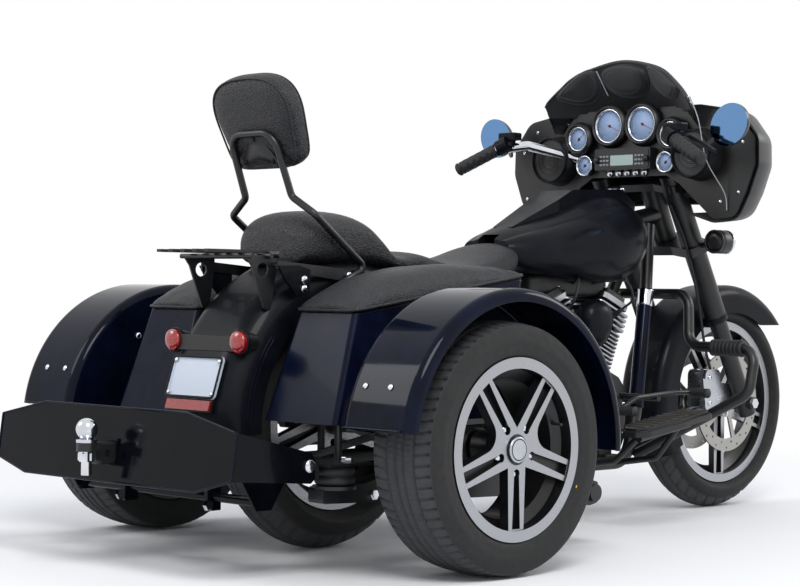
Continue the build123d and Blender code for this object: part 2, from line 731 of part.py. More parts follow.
cross_x, cross_z, cross_r = -55, 138, 22
beam_back, beam_front, beam_low, beam_high = -1050, -1000, 225, 275
wing_y, spring_shelf_x = 441, -870
arm_out_y, arm_w = 435, 50
side_rail_y, side_rail_z, side_rail_r = 225, 250, 16
with BuildPart() as kit_subframe:
    with BuildSketch(Plane.XY.offset(beam_low)):
        with Locations(((beam_back + beam_front) / 2, 0)):
            Rectangle(beam_front - beam_back, 2 * (wing_y - 5))
    extrude(amount=beam_high - beam_low)
    add(rod((cross_x, -arm_out_y - 12, cross_z), (cross_x, arm_out_y + 12, cross_z), cross_r))
    for side in (1, -1):
        add(tube([(beam_front - 10, side * side_rail_y, side_rail_z), (-150, side * side_rail_y, side_rail_z),
                  (cross_x, side * 170, cross_z)], side_rail_r, 80))
        add(rod((-360, side * side_rail_y, side_rail_z), (-360, side * fender_in_y, 300), 9))
        add(rod((-850, side * side_rail_y, side_rail_z), (-850, side * fender_in_y, 330), 9))
        with BuildSketch(Plane.XY.offset(252)):
            with Locations(((beam_front + spring_shelf_x) / 2, side * 418)):
                Rectangle(spring_shelf_x - beam_front, 104)
        extrude(amount=6)
        add(rod((-895, side * 385, 256), (-895, side * 385, bag_low_z), 9))
        add(rod((-420, side * side_rail_y, side_rail_z), (-420, side * side_rail_y, bag_low_z), 9))
        add(rod((-800, side * side_rail_y, side_rail_z), (-800, side * side_rail_y, bag_low_z), 9))
        with BuildSketch(Plane.XY.offset(cross_z)):
            with Locations((cross_x + 7, side * 100)):
                Rectangle(52, 44)
        extrude(amount=50)
    add(outer_fender_right.part, mode=Mode.SUBTRACT)
    add(outer_fender_left.part, mode=Mode.SUBTRACT)
    add(frame.part, mode=Mode.SUBTRACT)

# Each trailing arm swings on the cross tube and carries a stub axle on a raised knuckle.
arm_outline = [(-34, 112), (-34, 164), (-66, 172), (-400, 206), (-560, 236), (-604, 334), (-678, 334), (-722, 236),
               (-860, 206), (-985, 204), (-985, 168), (-700, 158), (-400, 150), (-66, 106)]
with BuildPart() as trailing_arms:
    add(plate(arm_outline, arm_out_y, arm_w, 8))
    add(rod((outer_axle_x, -arm_out_y, outer_axle_z), (outer_axle_x, -583, outer_axle_z), 44))
    add(rod((outer_axle_x, -583, outer_axle_z), (outer_axle_x, -688, outer_axle_z), stub_r))
    with BuildSketch(Plane.XY.offset(198)):
        with Locations((-936, -418)):
            Circle(50)
    extrude(amount=8)
    mirror(about=Plane.XZ)
    add(kit_subframe.part, mode=Mode.SUBTRACT)

with BuildPart() as air_springs:
    with BuildSketch(Plane.XY.offset(206)):
        with Locations((-936, -418)):
            Circle(46)
    extrude(amount=46)
    fillet(air_springs.edges().filter_by(GeomType.CIRCLE), 12)
    mirror(about=Plane.XZ)

hitch_x, ball_reach = rear_axle_x - 653, 62
bumper_lean = atan(14 / 106)
bumper_plane = Plane(
    origin=(hitch_x + 4, 0, 290),
    x_dir=(0, 1, 0),
    z_dir=(cos(bumper_lean), 0, -sin(bumper_lean)),
)
with BuildPart() as hitch_bumper:
    with BuildSketch(bumper_plane):
        with BuildLine():
            Polyline((-268, 82), (268, 82), (wing_y, 46), (wing_y, -58), (322, -90), (-322, -90),
                     (-wing_y, -58), (-wing_y, 46), close=True)
        make_face()
    extrude(amount=5)
    for side_y in (-wing_y, wing_y - 5):
        add(plate([(hitch_x + 10, 336), (hitch_x - 4, 232), (-1028, 216), (-1016, 226), (-1016, 270), (-1028, 284)], -side_y, 5))
    for side_y in (-333, 327):
        add(plate([(-1140, 226), (-1092, 150), (-1048, 150), (-1000, 225), (-1050, 225), (-1050, 256), (-1140, 256)],
                  -side_y, 6))
    add(rod((-1070, -333, 168), (-1070, 333, 168), 11))
    for side_y in (-160, 148):
        add(plate([(-1090, 225), (-1090, 136), (-1050, 136), (-1050, 225), (-1002, 225), (-1050, 260), (-1090, 260)],
                  -side_y, 12, 3))
    with BuildSketch(Plane.YZ.offset(hitch_x)):
        with Locations((0, 268)):
            Rectangle(66, 66)
            Rectangle(51, 51, mode=Mode.SUBTRACT)
    extrude(amount=200)
    with BuildSketch(Plane.YZ.offset(hitch_x - 12)):
        with Locations((0, 268)):
            Rectangle(51, 51)
    extrude(amount=40, mode=Mode.SUBTRACT)
    add(kit_subframe.part, mode=Mode.SUBTRACT)

ball_x, ball_z, ball_r, bar_t = hitch_x - ball_reach, 323, 25, 20
pin_hole_r = 8
with BuildPart() as ball_mount:
    with BuildSketch(Plane.XY.offset(293 - bar_t)):
        with Locations((ball_x, 0)):
            Circle(23)
        with Locations(((ball_x + hitch_x) / 2, 0)):
            Rectangle(ball_reach, 46)
    extrude(amount=bar_t)
    with BuildSketch(Plane.YZ.offset(ball_x + 23)):
        with Locations((0, 268)):
            RectangleRounded(50, 50, 5)
    extrude(amount=227)
    with BuildSketch(Plane.XZ.offset(40)):
        with Locations((ball_x + 40, 268)):
            Circle(pin_hole_r)
    extrude(amount=-80, mode=Mode.SUBTRACT)
    with BuildSketch(Plane.XY.offset(260)):
        with Locations((ball_x, 0)):
            Circle(12.05)
    extrude(amount=60, mode=Mode.SUBTRACT)

with BuildPart() as tow_ball:
    with BuildSketch(Plane(origin=(ball_x, 0, 0), x_dir=(1, 0, 0), z_dir=(0, -1, 0))):
        with BuildLine():
            Polyline((0, 219), (12, 219), (12, 293), (24, 293), (24, 300), (13, 303), (13, 310), (0, 310), close=True)
        make_face()
    revolve(axis=Axis((ball_x, 0, 0), (0, 0, 1)))
    with Locations((ball_x, 0, ball_z)):
        Sphere(ball_r)
    with BuildSketch(Plane((ball_x, 0, 250))):
        RegularPolygon(20, 6)
        Circle(12, mode=Mode.SUBTRACT)
    extrude(amount=293 - bar_t - 250)

# Rider's gear on the frame --------------------------------------------------------------------

board_slope = atan(44 / 297)
board_plane = Plane(origin=(350, -342, 297), x_dir=(cos(board_slope), 0, sin(board_slope)),
                    z_dir=(-sin(board_slope), 0, cos(board_slope)))
with BuildPart() as floorboards:
    with BuildSketch(board_plane) as board_plan:
        with BuildLine():
            Polyline((-150, -22), (-120, -52), (20, -62), (150, -58), (150, 52), (-110, 52), (-150, 20), close=True)
        make_face()
        fillet(board_plan.vertices(), 14)
    extrude(amount=-14)
    with BuildSketch(board_plane) as pad_plan:
        with BuildLine():
            Polyline((-142, -20), (-116, -44), (20, -54), (142, -50), (142, 44), (-106, 44), (-142, 18), close=True)
        make_face()
        fillet(pad_plan.vertices(), 12)
    extrude(amount=9)
    for foot_x in (260, 440):
        board_z = 297 + (foot_x - 350) * 44 / 297 - 24
        add(tube([(foot_x, -100, 166), (foot_x, -250, 190), (foot_x, -330, board_z)], 9, 30))
    add(rod(board_plane.from_local_coords((-110, 0, -24)), board_plane.from_local_coords((110, 0, -24)), 11))
    mirror(about=Plane.XZ)
    add(frame.part, mode=Mode.SUBTRACT)
    add(engine_covers.part, mode=Mode.SUBTRACT)

with BuildPart() as foot_controls:
    add(rod((389, -engine_half, 359), (389, -296, 359), 9))
    add(tube([(221, -290, 330), (300, -290, 362), (470, -290, 372), (543, -290, 370)], 7, 40))
    add(rod((221, -284, 330), (221, -345, 330), 11))
    add(rod((543, -284, 370), (543, -345, 370), 11))
    add(rod((389, 126, 359), (389, 296, 359), 9))
    add(tube([(389, 290, 359), (470, 290, 366), (543, 290, 378)], 8, 40))
    with BuildSketch(Plane.XY.offset(374)):
        with Locations((548, 312)):
            RectangleRounded(64, 78, 12)
    extrude(amount=12)
    add(engine_covers.part, mode=Mode.SUBTRACT)
    add(exhaust.part, mode=Mode.SUBTRACT)

guard_r = 15
guard_half = [(672, 0, 645), (664, -184, 645), (640, -206, 497), (629, -444, 495), (600, -444, 372), (522, -110, 186)]
with BuildPart() as engine_guard:
    add(tube(guard_half, guard_r, 48))
    add(rod((618, -62, 640), (669, -62, 645), 10))
    mirror(about=Plane.XZ)
    add(frame.part, mode=Mode.SUBTRACT)

with BuildPart() as highway_pegs:
    add(rod((629, -300, 495), (629, -404, 495), 23))
    mirror(about=Plane.XZ)
    add(engine_guard.part, mode=Mode.SUBTRACT)

# Fork and wheel gear, all turning on the steering axis -----------------------------------------

tree_gap = 2
low_tree = Plane(origin=head_low - tree_gap * steer_up, x_dir=(0, 1, 0), z_dir=steer_up)
high_tree = Plane(origin=head_high + tree_gap * steer_up, x_dir=(0, 1, 0), z_dir=steer_up)
slider_top, cover_top = 584, 990

with BuildPart() as fork_legs:
    add(rod(leg_point(288, -leg_y), leg_point(slider_top, -leg_y), leg_r - 1))
    add(rod(leg_point(slider_top, -leg_y), leg_point(cover_top, -leg_y), leg_r + 5))
    add(rod((front_axle_x, -leg_y, front_axle_z), (front_axle_x, -leg_y - 36, front_axle_z), 19))
    add(rod((front_axle_x, -leg_y, front_axle_z), (front_axle_x, -disc_y - 3, front_axle_z), 22))
    mirror(about=Plane.XZ)
    add(rod((front_axle_x, -leg_y, front_axle_z), (front_axle_x, leg_y, front_axle_z), front_pin_r))

grip_in, grip_end = (404, -330, 1066), (365, -443, 1010)
bar_points = [(694, 0, 1034), (694, -60, 1034), (630, -170, 1036), (490, -284, 1080), grip_in, grip_end]
half_bar = tube(bar_points, 14.5, 20)
with BuildPart() as handlebar:
    add(half_bar)
    mirror(about=Plane.XZ)

with BuildPart() as fork_trees:
    with BuildSketch(low_tree) as tree_plan:
        with BuildLine():
            Polyline((-172, 20), (-150, 88), (-60, 60), (60, 60), (150, 88), (172, 20), (60, -44), (-60, -44),
                     close=True)
        make_face()
        fillet(tree_plan.vertices(), 14)
    extrude(amount=-28)
    with BuildSketch(high_tree) as tree_plan:
        with BuildLine():
            Polyline((-172, 20), (-150, 92), (-60, 60), (60, 60), (150, 92), (172, 20), (60, -44), (-60, -44),
                     close=True)
        make_face()
        fillet(tree_plan.vertices(), 14)
    extrude(amount=22)
    add(rod(head_low - 24 * steer_up, head_high + 30 * steer_up, stem_r))
    for side in (1, -1):
        add(rod((698, side * 50, 990), (694, side * 50, 1034), 15))
    add(fork_legs.part, mode=Mode.SUBTRACT)
    add(handlebar.part, mode=Mode.SUBTRACT)

with BuildPart() as hand_grips:
    add(rod(grip_in, Vector(*grip_end) + 0.03 * (Vector(*grip_end) - Vector(*grip_in)), 18))
    mirror(about=Plane.XZ)
    add(handlebar.part, mode=Mode.SUBTRACT)

front_fender_r, front_fender_y, front_skirt_r = 354, 82, 270
front_start, front_end, front_fender_x, front_hem_z = 30, 206, front_axle_x + 8, 552
with BuildPart() as front_fender:
    with BuildSketch(radial_plane(front_fender_x, front_axle_z, front_end)):
        with BuildLine():
            FilletPolyline(
                (front_skirt_r, -front_fender_y),
                (front_fender_r, -front_fender_y),
                (front_fender_r, front_fender_y),
                (front_skirt_r, front_fender_y),
                radius=36,
            )
            offset(amount=-fender_sheet, side=Side.LEFT)
        make_face()
    revolve(axis=Axis((front_fender_x, 0, front_axle_z), (0, 1, 0)), revolution_arc=front_end - front_start)
    with BuildSketch(Plane.XY.offset(front_hem_z)):
        with Locations((front_fender_x + 200, 0)):
            Rectangle(400, 200)
    extrude(amount=-200, mode=Mode.SUBTRACT)
    for side in (1, -1):
        add(rod(leg_point(560, side * leg_y), leg_point(560, side * front_fender_y), 14))
    add(fork_legs.part, mode=Mode.SUBTRACT)

with BuildPart() as brake_calipers:
    with BuildSketch(Plane.XZ.offset(leg_y - 20)) as caliper_face:
        with Locations((front_axle_x - 128, front_axle_z + 40)):
            RectangleRounded(74, 124, 20)
    extrude(amount=-(leg_y - 20 - 42))
    with BuildSketch(Plane.XZ.offset(disc_y + 3)):
        with Locations((front_axle_x, front_axle_z)):
            Circle(disc_r + 6)
    extrude(amount=-(disc_t + 6), mode=Mode.SUBTRACT)
    add(plate([(840, 396), (900, 384), (985, 376), (1000, 336), (900, 318), (850, 330)], leg_y - 20, 14))
    mirror(about=Plane.XZ)
    add(fork_legs.part, mode=Mode.SUBTRACT)

# The fairing: a bat-winged shell lofted forward round the headlamp, open at the back and below.
wing_outline = (
    # y, z, corner radius
    (0, 1182), (250, 1184), (392, 1160), (452, 1084), (454, 1004), (424, 924), (384, 852), (300, 846),
    (190, 880), (0, 884),
)
fairing_sections = (
    # x, width scale, height scale, z of the scaling centre
    (622, 1.00, 1.00, 1010),
    (700, 0.965, 0.95, 1012),
    (780, 0.82, 0.84, 1016),
    (842, 0.52, 0.62, 1020),
)
shell_t, wing_bend = 5, 54


def wing_points(wide, tall, mid_z):
    """The bat-wing outline, scaled about a height; the right half is the left one mirrored."""
    left = [(y * wide, mid_z + (z - mid_z) * tall) for y, z in wing_outline]
    return left + [(-y, z) for y, z in reversed(left[1:-1])]


with BuildPart() as fairing_shell:
    for x, wide, tall, mid_z in fairing_sections:
        with BuildSketch(Plane(origin=(x, 0, 0), x_dir=(0, 1, 0), z_dir=(1, 0, 0))) as wing:
            with BuildLine():
                Polyline(*wing_points(wide, tall, mid_z), close=True)
            make_face()
            fillet(wing.vertices().filter_by(lambda v: abs(v.X) > 1), wing_bend * wide)
    loft()
    for x, wide, tall, mid_z in fairing_sections:
        back = x - (4 if x < 640 else 7)
        inset = 1 - 2 * shell_t / 900
        with BuildSketch(Plane(origin=(back, 0, 0), x_dir=(0, 1, 0), z_dir=(1, 0, 0))) as wing:
            with BuildLine():
                Polyline(*wing_points(wide * inset, tall * (1 - 2 * shell_t / 330), mid_z), close=True)
            make_face()
            fillet(wing.vertices().filter_by(lambda v: abs(v.X) > 1), (wing_bend - 4) * wide)
    loft(mode=Mode.SUBTRACT)
    with BuildSketch(Plane.XY.offset(800)):
        with Locations((706, 0)):
            Rectangle(186, 430)
    extrude(amount=180, mode=Mode.SUBTRACT)
    with BuildSketch(Plane.YZ.offset(760)):
        with Locations((0, 1010)):
            Circle(92)
    extrude(amount=120, mode=Mode.SUBTRACT)
    for side in (1, -1):
        add(rod(leg_point(930, side * leg_y), (700, side * 415, 956), 9))
    add(fork_legs.part, mode=Mode.SUBTRACT)

with BuildPart() as headlamp:
    with BuildSketch(Plane.YZ.offset(772)):
        with Locations((0, 1010)):
            Circle(91.9)
    extrude(amount=78)
    fillet(headlamp.faces().sort_by(Axis.X)[-1].edges(), 20)
    fillet(headlamp.faces().sort_by(Axis.X)[0].edges(), 30)

# The dash closes the shell's mouth: gauges, speaker pods and radio stand on one panel.
dash_x, dash_t = 612, 8
gauges = (
    # y, z, bezel radius, bezel back x
    (61, 1135, 50, 596),
    (-61, 1135, 50, 596),
    (171, 1101, 36, 588),
    (-171, 1101, 36, 588),
    (150, 1022, 30, 592),
    (-150, 1022, 30, 592),
)
speaker_y, speaker_z, speaker_r = 262, 1040, 68
with BuildPart() as fairing_dash:
    with BuildSketch(Plane(origin=(dash_x, 0, 0), x_dir=(0, 1, 0), z_dir=(1, 0, 0))) as panel:
        with BuildLine():
            half = [(0, 1176), (246, 1177), (384, 1153), (443, 1082), (445, 1006), (416, 930), (380, 862), (306, 856),
                    (186, 960), (140, 985), (0, 985)]
            Polyline(*(half + [(-y, z) for y, z in reversed(half[1:-1])]), close=True)
        make_face()
        fillet(panel.vertices().filter_by(lambda v: abs(v.X) > 1), 34)
    extrude(amount=dash_t)
    for y, z, bezel_r, back_x in gauges:
        with BuildSketch(Plane.YZ.offset(back_x)):
            with Locations((y, z)):
                Circle(bezel_r)
        extrude(amount=dash_x - back_x)
        with BuildSketch(Plane.YZ.offset(back_x)):
            with Locations((y, z)):
                Circle(bezel_r - 5)
        extrude(amount=4, mode=Mode.SUBTRACT)
    with BuildSketch(Plane.YZ.offset(582)):
        with Locations((0, 1036)):
            RectangleRounded(206, 62, 6)
    extrude(amount=dash_x - 582)
    for side in (1, -1):
        with BuildSketch(Plane.YZ.offset(560)):
            with Locations((side * speaker_y, speaker_z)):
                Circle(speaker_r)
        extrude(amount=dash_x - 560, taper=-8)
        with BuildSketch(Plane.YZ.offset(560)):
            with Locations((side * speaker_y, speaker_z)):
                Circle(speaker_r - 6)
        extrude(amount=5, mode=Mode.SUBTRACT)
        add(tube(bar_points[:4] + [grip_in] if side < 0 else [(x, -y, z) for x, y, z in bar_points[:4] + [grip_in]],
                 20, 20), mode=Mode.SUBTRACT)

screen_lean = atan(110 / 160)
screen_r, screen_t = 420, 4
screen_up = Vector(-sin(screen_lean), 0, cos(screen_lean))
screen_plane = Plane(origin=Vector(690, 0, 1160), x_dir=(0, 1, 0), z_dir=screen_up)
screen_outline = [(-268, 1120), (-266, 1180), (-252, 1212), (-214, 1248), (-172, 1281), (-104, 1306), (0, 1322),
                  (104, 1306), (172, 1281), (214, 1248), (252, 1212), (266, 1180), (268, 1120)]


def screen_strip(lift, length, gap, thickness, span):
    """A curved sheet that leans back like the windshield, `gap` behind its front face."""
    r = screen_r - gap
    a = degrees(span / screen_r)
    with BuildPart() as made:
        with BuildSketch(Plane(origin=screen_plane.origin + lift * screen_up, x_dir=(0, 1, 0), z_dir=screen_up)):
            with BuildLine():
                outer = CenterArc((0, screen_r), r, 270 - a, 2 * a)
                inner = CenterArc((0, screen_r), r - thickness, 270 - a, 2 * a)
                Line(outer @ 0, inner @ 0)
                Line(outer @ 1, inner @ 1)
            make_face()
        extrude(amount=length)
    return made.part


with BuildPart() as windshield:
    add(screen_strip(-40, 260, 0, screen_t, 330))
    with BuildSketch(Plane(origin=(400, 0, 0), x_dir=(0, 1, 0), z_dir=(1, 0, 0))):
        with BuildLine():
            brow = Spline(*screen_outline[1:-1])
            Polyline(brow @ 1, screen_outline[-1], screen_outline[0], brow @ 0)
        make_face()
    extrude(amount=400, mode=Mode.INTERSECT)
    add(fairing_shell.part, mode=Mode.SUBTRACT)
    add(fairing_dash.part, mode=Mode.SUBTRACT)

# Three pouches stand on one soft panel that lines the windshield's inner face.
pouch_t, pouch_gap, panel_t = 34, 0.3, 5
pouch_windows = (
    # y from, y to, low z at the inner end, low z at the outer end, top z inner, top z outer
    (-236, -92, 1196, 1206, 1288, 1244),
    (-86, 86, 1198, 1198, 1304, 1304),
    (92, 236, 1196, 1206, 1288, 1244),
)
with BuildPart() as windshield_pouches:
    for y_from, y_to, low_in, low_out, high_in, high_out in pouch_windows:
        inner, outer = (y_from, y_to) if y_from > 0 else (y_to, y_from)
        with BuildSketch(Plane(origin=(400, 0, 0), x_dir=(0, 1, 0), z_dir=(1, 0, 0))) as window:
            with BuildLine():
                Polyline((inner, low_in), (outer, low_out), (outer, high_out), (inner, high_in), close=True)
            make_face()
            fillet(window.vertices(), 18)
        extrude(amount=400)
    add(screen_strip(-60, 300, screen_t + pouch_gap, pouch_t, 330), mode=Mode.INTERSECT)
    with BuildPart(mode=Mode.PRIVATE) as lining:
        add(screen_strip(-40, 260, screen_t + pouch_gap, panel_t, 330))
        with BuildSketch(Plane(origin=(400, 0, 0), x_dir=(0, 1, 0), z_dir=(1, 0, 0))):
            with BuildLine():
                brow = Spline(*[(y * 0.985, z - 4) for y, z in screen_outline[1:-1]])
                Polyline(brow @ 1, (264, 1120), (-264, 1120), brow @ 0)
            make_face()
        extrude(amount=400, mode=Mode.INTERSECT)
    add(lining.part)
    add(fairing_dash.part, mode=Mode.SUBTRACT)
    add(fairing_shell.part, mode=Mode.SUBTRACT)

mirror_face_x = 508
with BuildPart() as mirrors:
    for depth, shrink in ((0, 0), (14, 2), (26, 10)):
        with BuildSketch(Plane.YZ.offset(mirror_face_x + depth)):
            with Locations((-432, 1110)):
                Ellipse(64 - shrink, 56 - shrink, rotation=-35)
    loft()
    add(tube([(516, -384, 1078), (500, -360, 1052), (452, -318, 1078)], 6, 12))
    mirror(about=Plane.XZ)
    add(handlebar.part, mode=Mode.SUBTRACT)

# Brake and clutch sets: a clamp block, a fluid reservoir, a switch pod and a lever on each side.
with BuildPart() as hand_controls:
    grip_run = Vector(*grip_end) - Vector(*grip_in)
    add(rod(Vector(*grip_in) - 0.04 * grip_run, Vector(*grip_in) - 0.3 * grip_run, 24))
    with BuildSketch(Plane.XY.offset(1094)):
        with Locations((434, -306)):
            RectangleRounded(44, 64, 10)
    extrude(amount=22)
    fillet(hand_controls.faces().sort_by(Axis.Z)[-1].edges(), 5)
    add(tube([(420, -300, 1088), (470, -330, 1080), (446, -400, 1052), (424, -450, 1030)], 6, 24))
    add(rod((430, -306, 1076), (436, -304, 1100), 16))
    mirror(about=Plane.XZ)
    add(handlebar.part, mode=Mode.SUBTRACT)
    add(mirrors.part, mode=Mode.SUBTRACT)

with BuildPart() as turn_signals:
    add(rod((772, -120, 782), (726, -226, 796), 8))
    with BuildSketch(Plane.YZ.offset(690)):
        with Locations((-250, 796)):
            Circle(34)
    extrude(amount=64)
    fillet(turn_signals.edges().filter_by(GeomType.CIRCLE).filter_by(lambda e: e.radius > 30), 22)
    mirror(about=Plane.XZ)
    add(fork_legs.part, mode=Mode.SUBTRACT)
    add(fork_trees.part, mode=Mode.SUBTRACT)

# Write every node ------------------------------------------------------------------------------

nodes = {
    "outer_tyre_right": outer_tyre_right,
    "outer_rim_right": outer_rim_right,
    "outer_tyre_left": outer_tyre_left,
    "outer_rim_left": outer_rim_left,
    "rear_tyre": rear_tyre,
    "rear_rim": rear_rim,
    "front_tyre": front_tyre,
    "front_rim": front_rim,
    "brake_discs": brake_discs,
    "frame": frame,
    "swingarm": swingarm,
    "crankcase": crankcase,
    "engine_covers": engine_covers,
    "cylinders": cylinders,
    "cylinder_heads": cylinder_heads,
    "pushrod_tubes": pushrod_tubes,
    "horn_cover": horn_cover,
    "air_cleaner": air_cleaner,
    "exhaust": exhaust,
    "fuel_tank": fuel_tank,
    "tank_console": tank_console,
    "seat": seat,
    "rear_fender": rear_fender,
    "tail_lamp_bar": tail_lamp_bar,
    "tail_lenses": tail_lenses,
    "licence_plate": licence_plate,
    "luggage_rack": luggage_rack,
    "sissy_bar": sissy_bar,
    "backrest_pad": backrest_pad,
    "saddlebags": saddlebags,
    "bag_lid_right": bag_lid_right,
    "bag_lid_left": bag_lid_left,
    "outer_fender_right": outer_fender_right,
    "outer_fender_left": outer_fender_left,
    "kit_subframe": kit_subframe,
    "trailing_arms": trailing_arms,
    "air_springs": air_springs,
    "hitch_bumper": hitch_bumper,
    "ball_mount": ball_mount,
    "tow_ball": tow_ball,
    "floorboards": floorboards,
    "foot_controls": foot_controls,
    "engine_guard": engine_guard,
    "highway_pegs": highway_pegs,
    "fork_legs": fork_legs,
    "fork_trees": fork_trees,
    "handlebar": handlebar,
    "hand_grips": hand_grips,
    "hand_controls": hand_controls,
    "front_fender": front_fender,
    "brake_calipers": brake_calipers,
    "fairing_shell": fairing_shell,
    "fairing_dash": fairing_dash,
    "headlamp": headlamp,
    "windshield": windshield,
    "windshield_pouches": windshield_pouches,
    "mirrors": mirrors,
    "turn_signals": turn_signals,
}
for name, made in nodes.items():
    made.part.label = name
    export_step(made.part, f"parts/{name}.step")
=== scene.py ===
from functools import partial
from math import atan, cos, pi, radians, sin

import bpy
import numpy as np
from mathutils import Matrix, Vector


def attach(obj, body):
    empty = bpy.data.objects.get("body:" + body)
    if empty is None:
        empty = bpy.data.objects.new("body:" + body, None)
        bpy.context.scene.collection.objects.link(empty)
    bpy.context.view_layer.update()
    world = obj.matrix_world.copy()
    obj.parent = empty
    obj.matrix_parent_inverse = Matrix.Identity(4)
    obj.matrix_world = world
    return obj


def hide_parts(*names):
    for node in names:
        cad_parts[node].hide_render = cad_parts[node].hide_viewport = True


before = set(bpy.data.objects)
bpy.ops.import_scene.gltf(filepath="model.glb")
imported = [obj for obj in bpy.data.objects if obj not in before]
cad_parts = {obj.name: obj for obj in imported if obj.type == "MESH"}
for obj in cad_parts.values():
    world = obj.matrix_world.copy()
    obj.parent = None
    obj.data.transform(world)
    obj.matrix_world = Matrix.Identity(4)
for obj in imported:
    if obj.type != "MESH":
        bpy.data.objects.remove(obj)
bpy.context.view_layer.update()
bpy.context.scene.view_settings.view_transform = "Standard"

# Measures shared with the part's source, here in metres.
OUTER = np.array([-0.641, 0.615, 0.290])
REAR = np.array([-0.597, 0.0, 0.318])
FRONT = np.array([1.017, 0.0, 0.320])
CRANK = np.array([0.344, 0.0, 0.300])
ACROSS = np.array([0, 1.0, 0])
SIDES = (("right", -1.0), ("left", 1.0))
LATHE_PITCH = 0.0016


# Camera, floor and light ------------------------------------------------------------------------

def set_camera():
    """A 92 mm lens at sitting height; its axes are the yaw, pitch and roll turned one after another."""
    yaw, pitch, roll = radians(45.213), radians(-0.028), radians(0.697)
    ahead = Vector((cos(pitch) * cos(yaw), cos(pitch) * sin(yaw), sin(pitch)))
    right = Vector((sin(yaw), -cos(yaw), 0))
    up = right.cross(ahead)
    across = right * cos(roll) + up * sin(roll)
    above = -right * sin(roll) + up * cos(roll)
    data = bpy.data.cameras.new("camera")
    data.sensor_width, data.lens, data.clip_end = 36, 92.3, 100
    camera = bpy.data.objects.new("camera", data)
    turn = Matrix((across, above, -ahead)).transposed().to_4x4()
    camera.matrix_world = Matrix.Translation((-4.075, -3.782, 0.641)) @ turn
    bpy.context.collection.objects.link(camera)
    bpy.context.scene.camera = camera


def linear(code):
    """An sRGB hex colour as linear RGBA."""
    s = np.array([int(code[i:i + 2], 16) for i in (0, 2, 4)]) / 255
    low = s <= 0.04045
    return (*np.where(low, s / 12.92, ((s + 0.055) / 1.055) ** 2.4).tolist(), 1.0)


def add(tree, kind, links=None, **values):
    """Adds one node, sets its own settings and socket values, and links sockets that come from others."""
    made = tree.nodes.new("ShaderNode" + kind)
    for key, value in values.items():
        if hasattr(made, key) and key not in made.inputs:
            setattr(made, key, value)
        else:
            made.inputs[key.replace("_", " ")].default_value = value
    for socket, source in (links or {}).items():
        tree.links.new(source, made.inputs[socket])
    return made


def noise(tree, place, scale, detail, rough=0.5):
    """A cloudy factor of `scale` turns to the metre."""
    return add(tree, "TexNoise", {"Vector": place}, Scale=scale, Detail=detail, Roughness=rough).outputs[0]


def cells(tree, place, scale, feature="SMOOTH_F1"):
    """The distance inside cells that come `scale` to the metre."""
    return add(tree, "TexVoronoi", {"Vector": place}, Scale=scale, feature=feature).outputs["Distance"]


def calc(tree, kind, *terms):
    """One sum on sockets and plain numbers."""
    made = add(tree, "Math", operation=kind)
    for at, term in enumerate(terms):
        if isinstance(term, (int, float)):
            made.inputs[at].default_value = term
        else:
            tree.links.new(term, made.inputs[at])
    return made.outputs[0]


def vector_calc(tree, kind, first, second=None):
    """One sum on a vector socket and, where given, a plain vector."""
    made = add(tree, "VectorMath", {0: first}, operation=kind)
    if second is not None:
        made.inputs[1].default_value = second
    return made.outputs


def seen_plainly(tree):
    """One where the ray comes from the camera, through glass or off metal, meeting the white backdrop."""
    path = add(tree, "LightPath").outputs
    through = calc(tree, "MAXIMUM", path["Is Camera Ray"], path["Is Transmission Ray"])
    return calc(tree, "MAXIMUM", through, path["Is Glossy Ray"])


def set_light():
    """Even pale surroundings with one broad lamp above the right side and a weak one in front."""
    world = bpy.data.worlds.new("studio")
    bpy.context.scene.world = world
    world.use_nodes = True
    tree = world.node_tree
    tree.nodes.clear()
    seen = seen_plainly(tree)
    room = add(tree, "Background", Color=(0.90, 0.93, 1.0, 1), Strength=0.66)
    white = add(tree, "Background", Color=(1, 1, 1, 1), Strength=1.0)
    mixed = add(tree, "MixShader", {0: seen, 1: room.outputs[0], 2: white.outputs[0]})
    add(tree, "OutputWorld", {"Surface": mixed.outputs[0]})
    lamps = (
        # name, place, aims at, size, watts
        ("lamp_key", (-2.6, -3.4, 4.2), (0, 0, 0.5), 2.4, 150),
        ("lamp_front", (4.0, -2.2, 2.8), (0.4, 0, 0.6), 2.0, 60),
        ("lamp_back", (-3.8, 3.0, 3.4), (-0.4, 0, 0.6), 2.4, 60),
    )
    for name, place, aim, size, watts in lamps:
        data = bpy.data.lights.new(name, "AREA")
        data.shape, data.size, data.energy = "DISK", size, watts
        lamp = bpy.data.objects.new(name, data)
        lamp.location = place
        lamp.rotation_euler = (Vector(aim) - Vector(place)).to_track_quat("-Z", "Y").to_euler()
        bpy.context.collection.objects.link(lamp)


# Materials --------------------------------------------------------------------------------------

def start(name):
    """A new material with its shader, its object coordinates and its output."""
    made = bpy.data.materials.new(name)
    made.use_nodes = True
    tree = made.node_tree
    tree.nodes.clear()
    shader = add(tree, "BsdfPrincipled")
    add(tree, "OutputMaterial", {"Surface": shader.outputs[0]})
    place = add(tree, "TexCoord").outputs["Object"]
    return made, tree, shader, place


def relief(tree, shader, height, depth, reach=1.0):
    """Bumps the shader by a height field whose full swing is `depth` metres."""
    bump = add(tree, "Bump", {"Height": height}, Strength=reach, Distance=depth)
    tree.links.new(bump.outputs[0], shader.inputs["Normal"])


def tone(tree, shader, factor, low, high, socket="Base Color"):
    """Blends a socket's colour from low to high by a factor."""
    mix = add(tree, "Mix", {0: factor}, data_type="RGBA")
    mix.inputs[6].default_value = linear(low)
    mix.inputs[7].default_value = linear(high)
    tree.links.new(mix.outputs[2], shader.inputs[socket])
    return mix


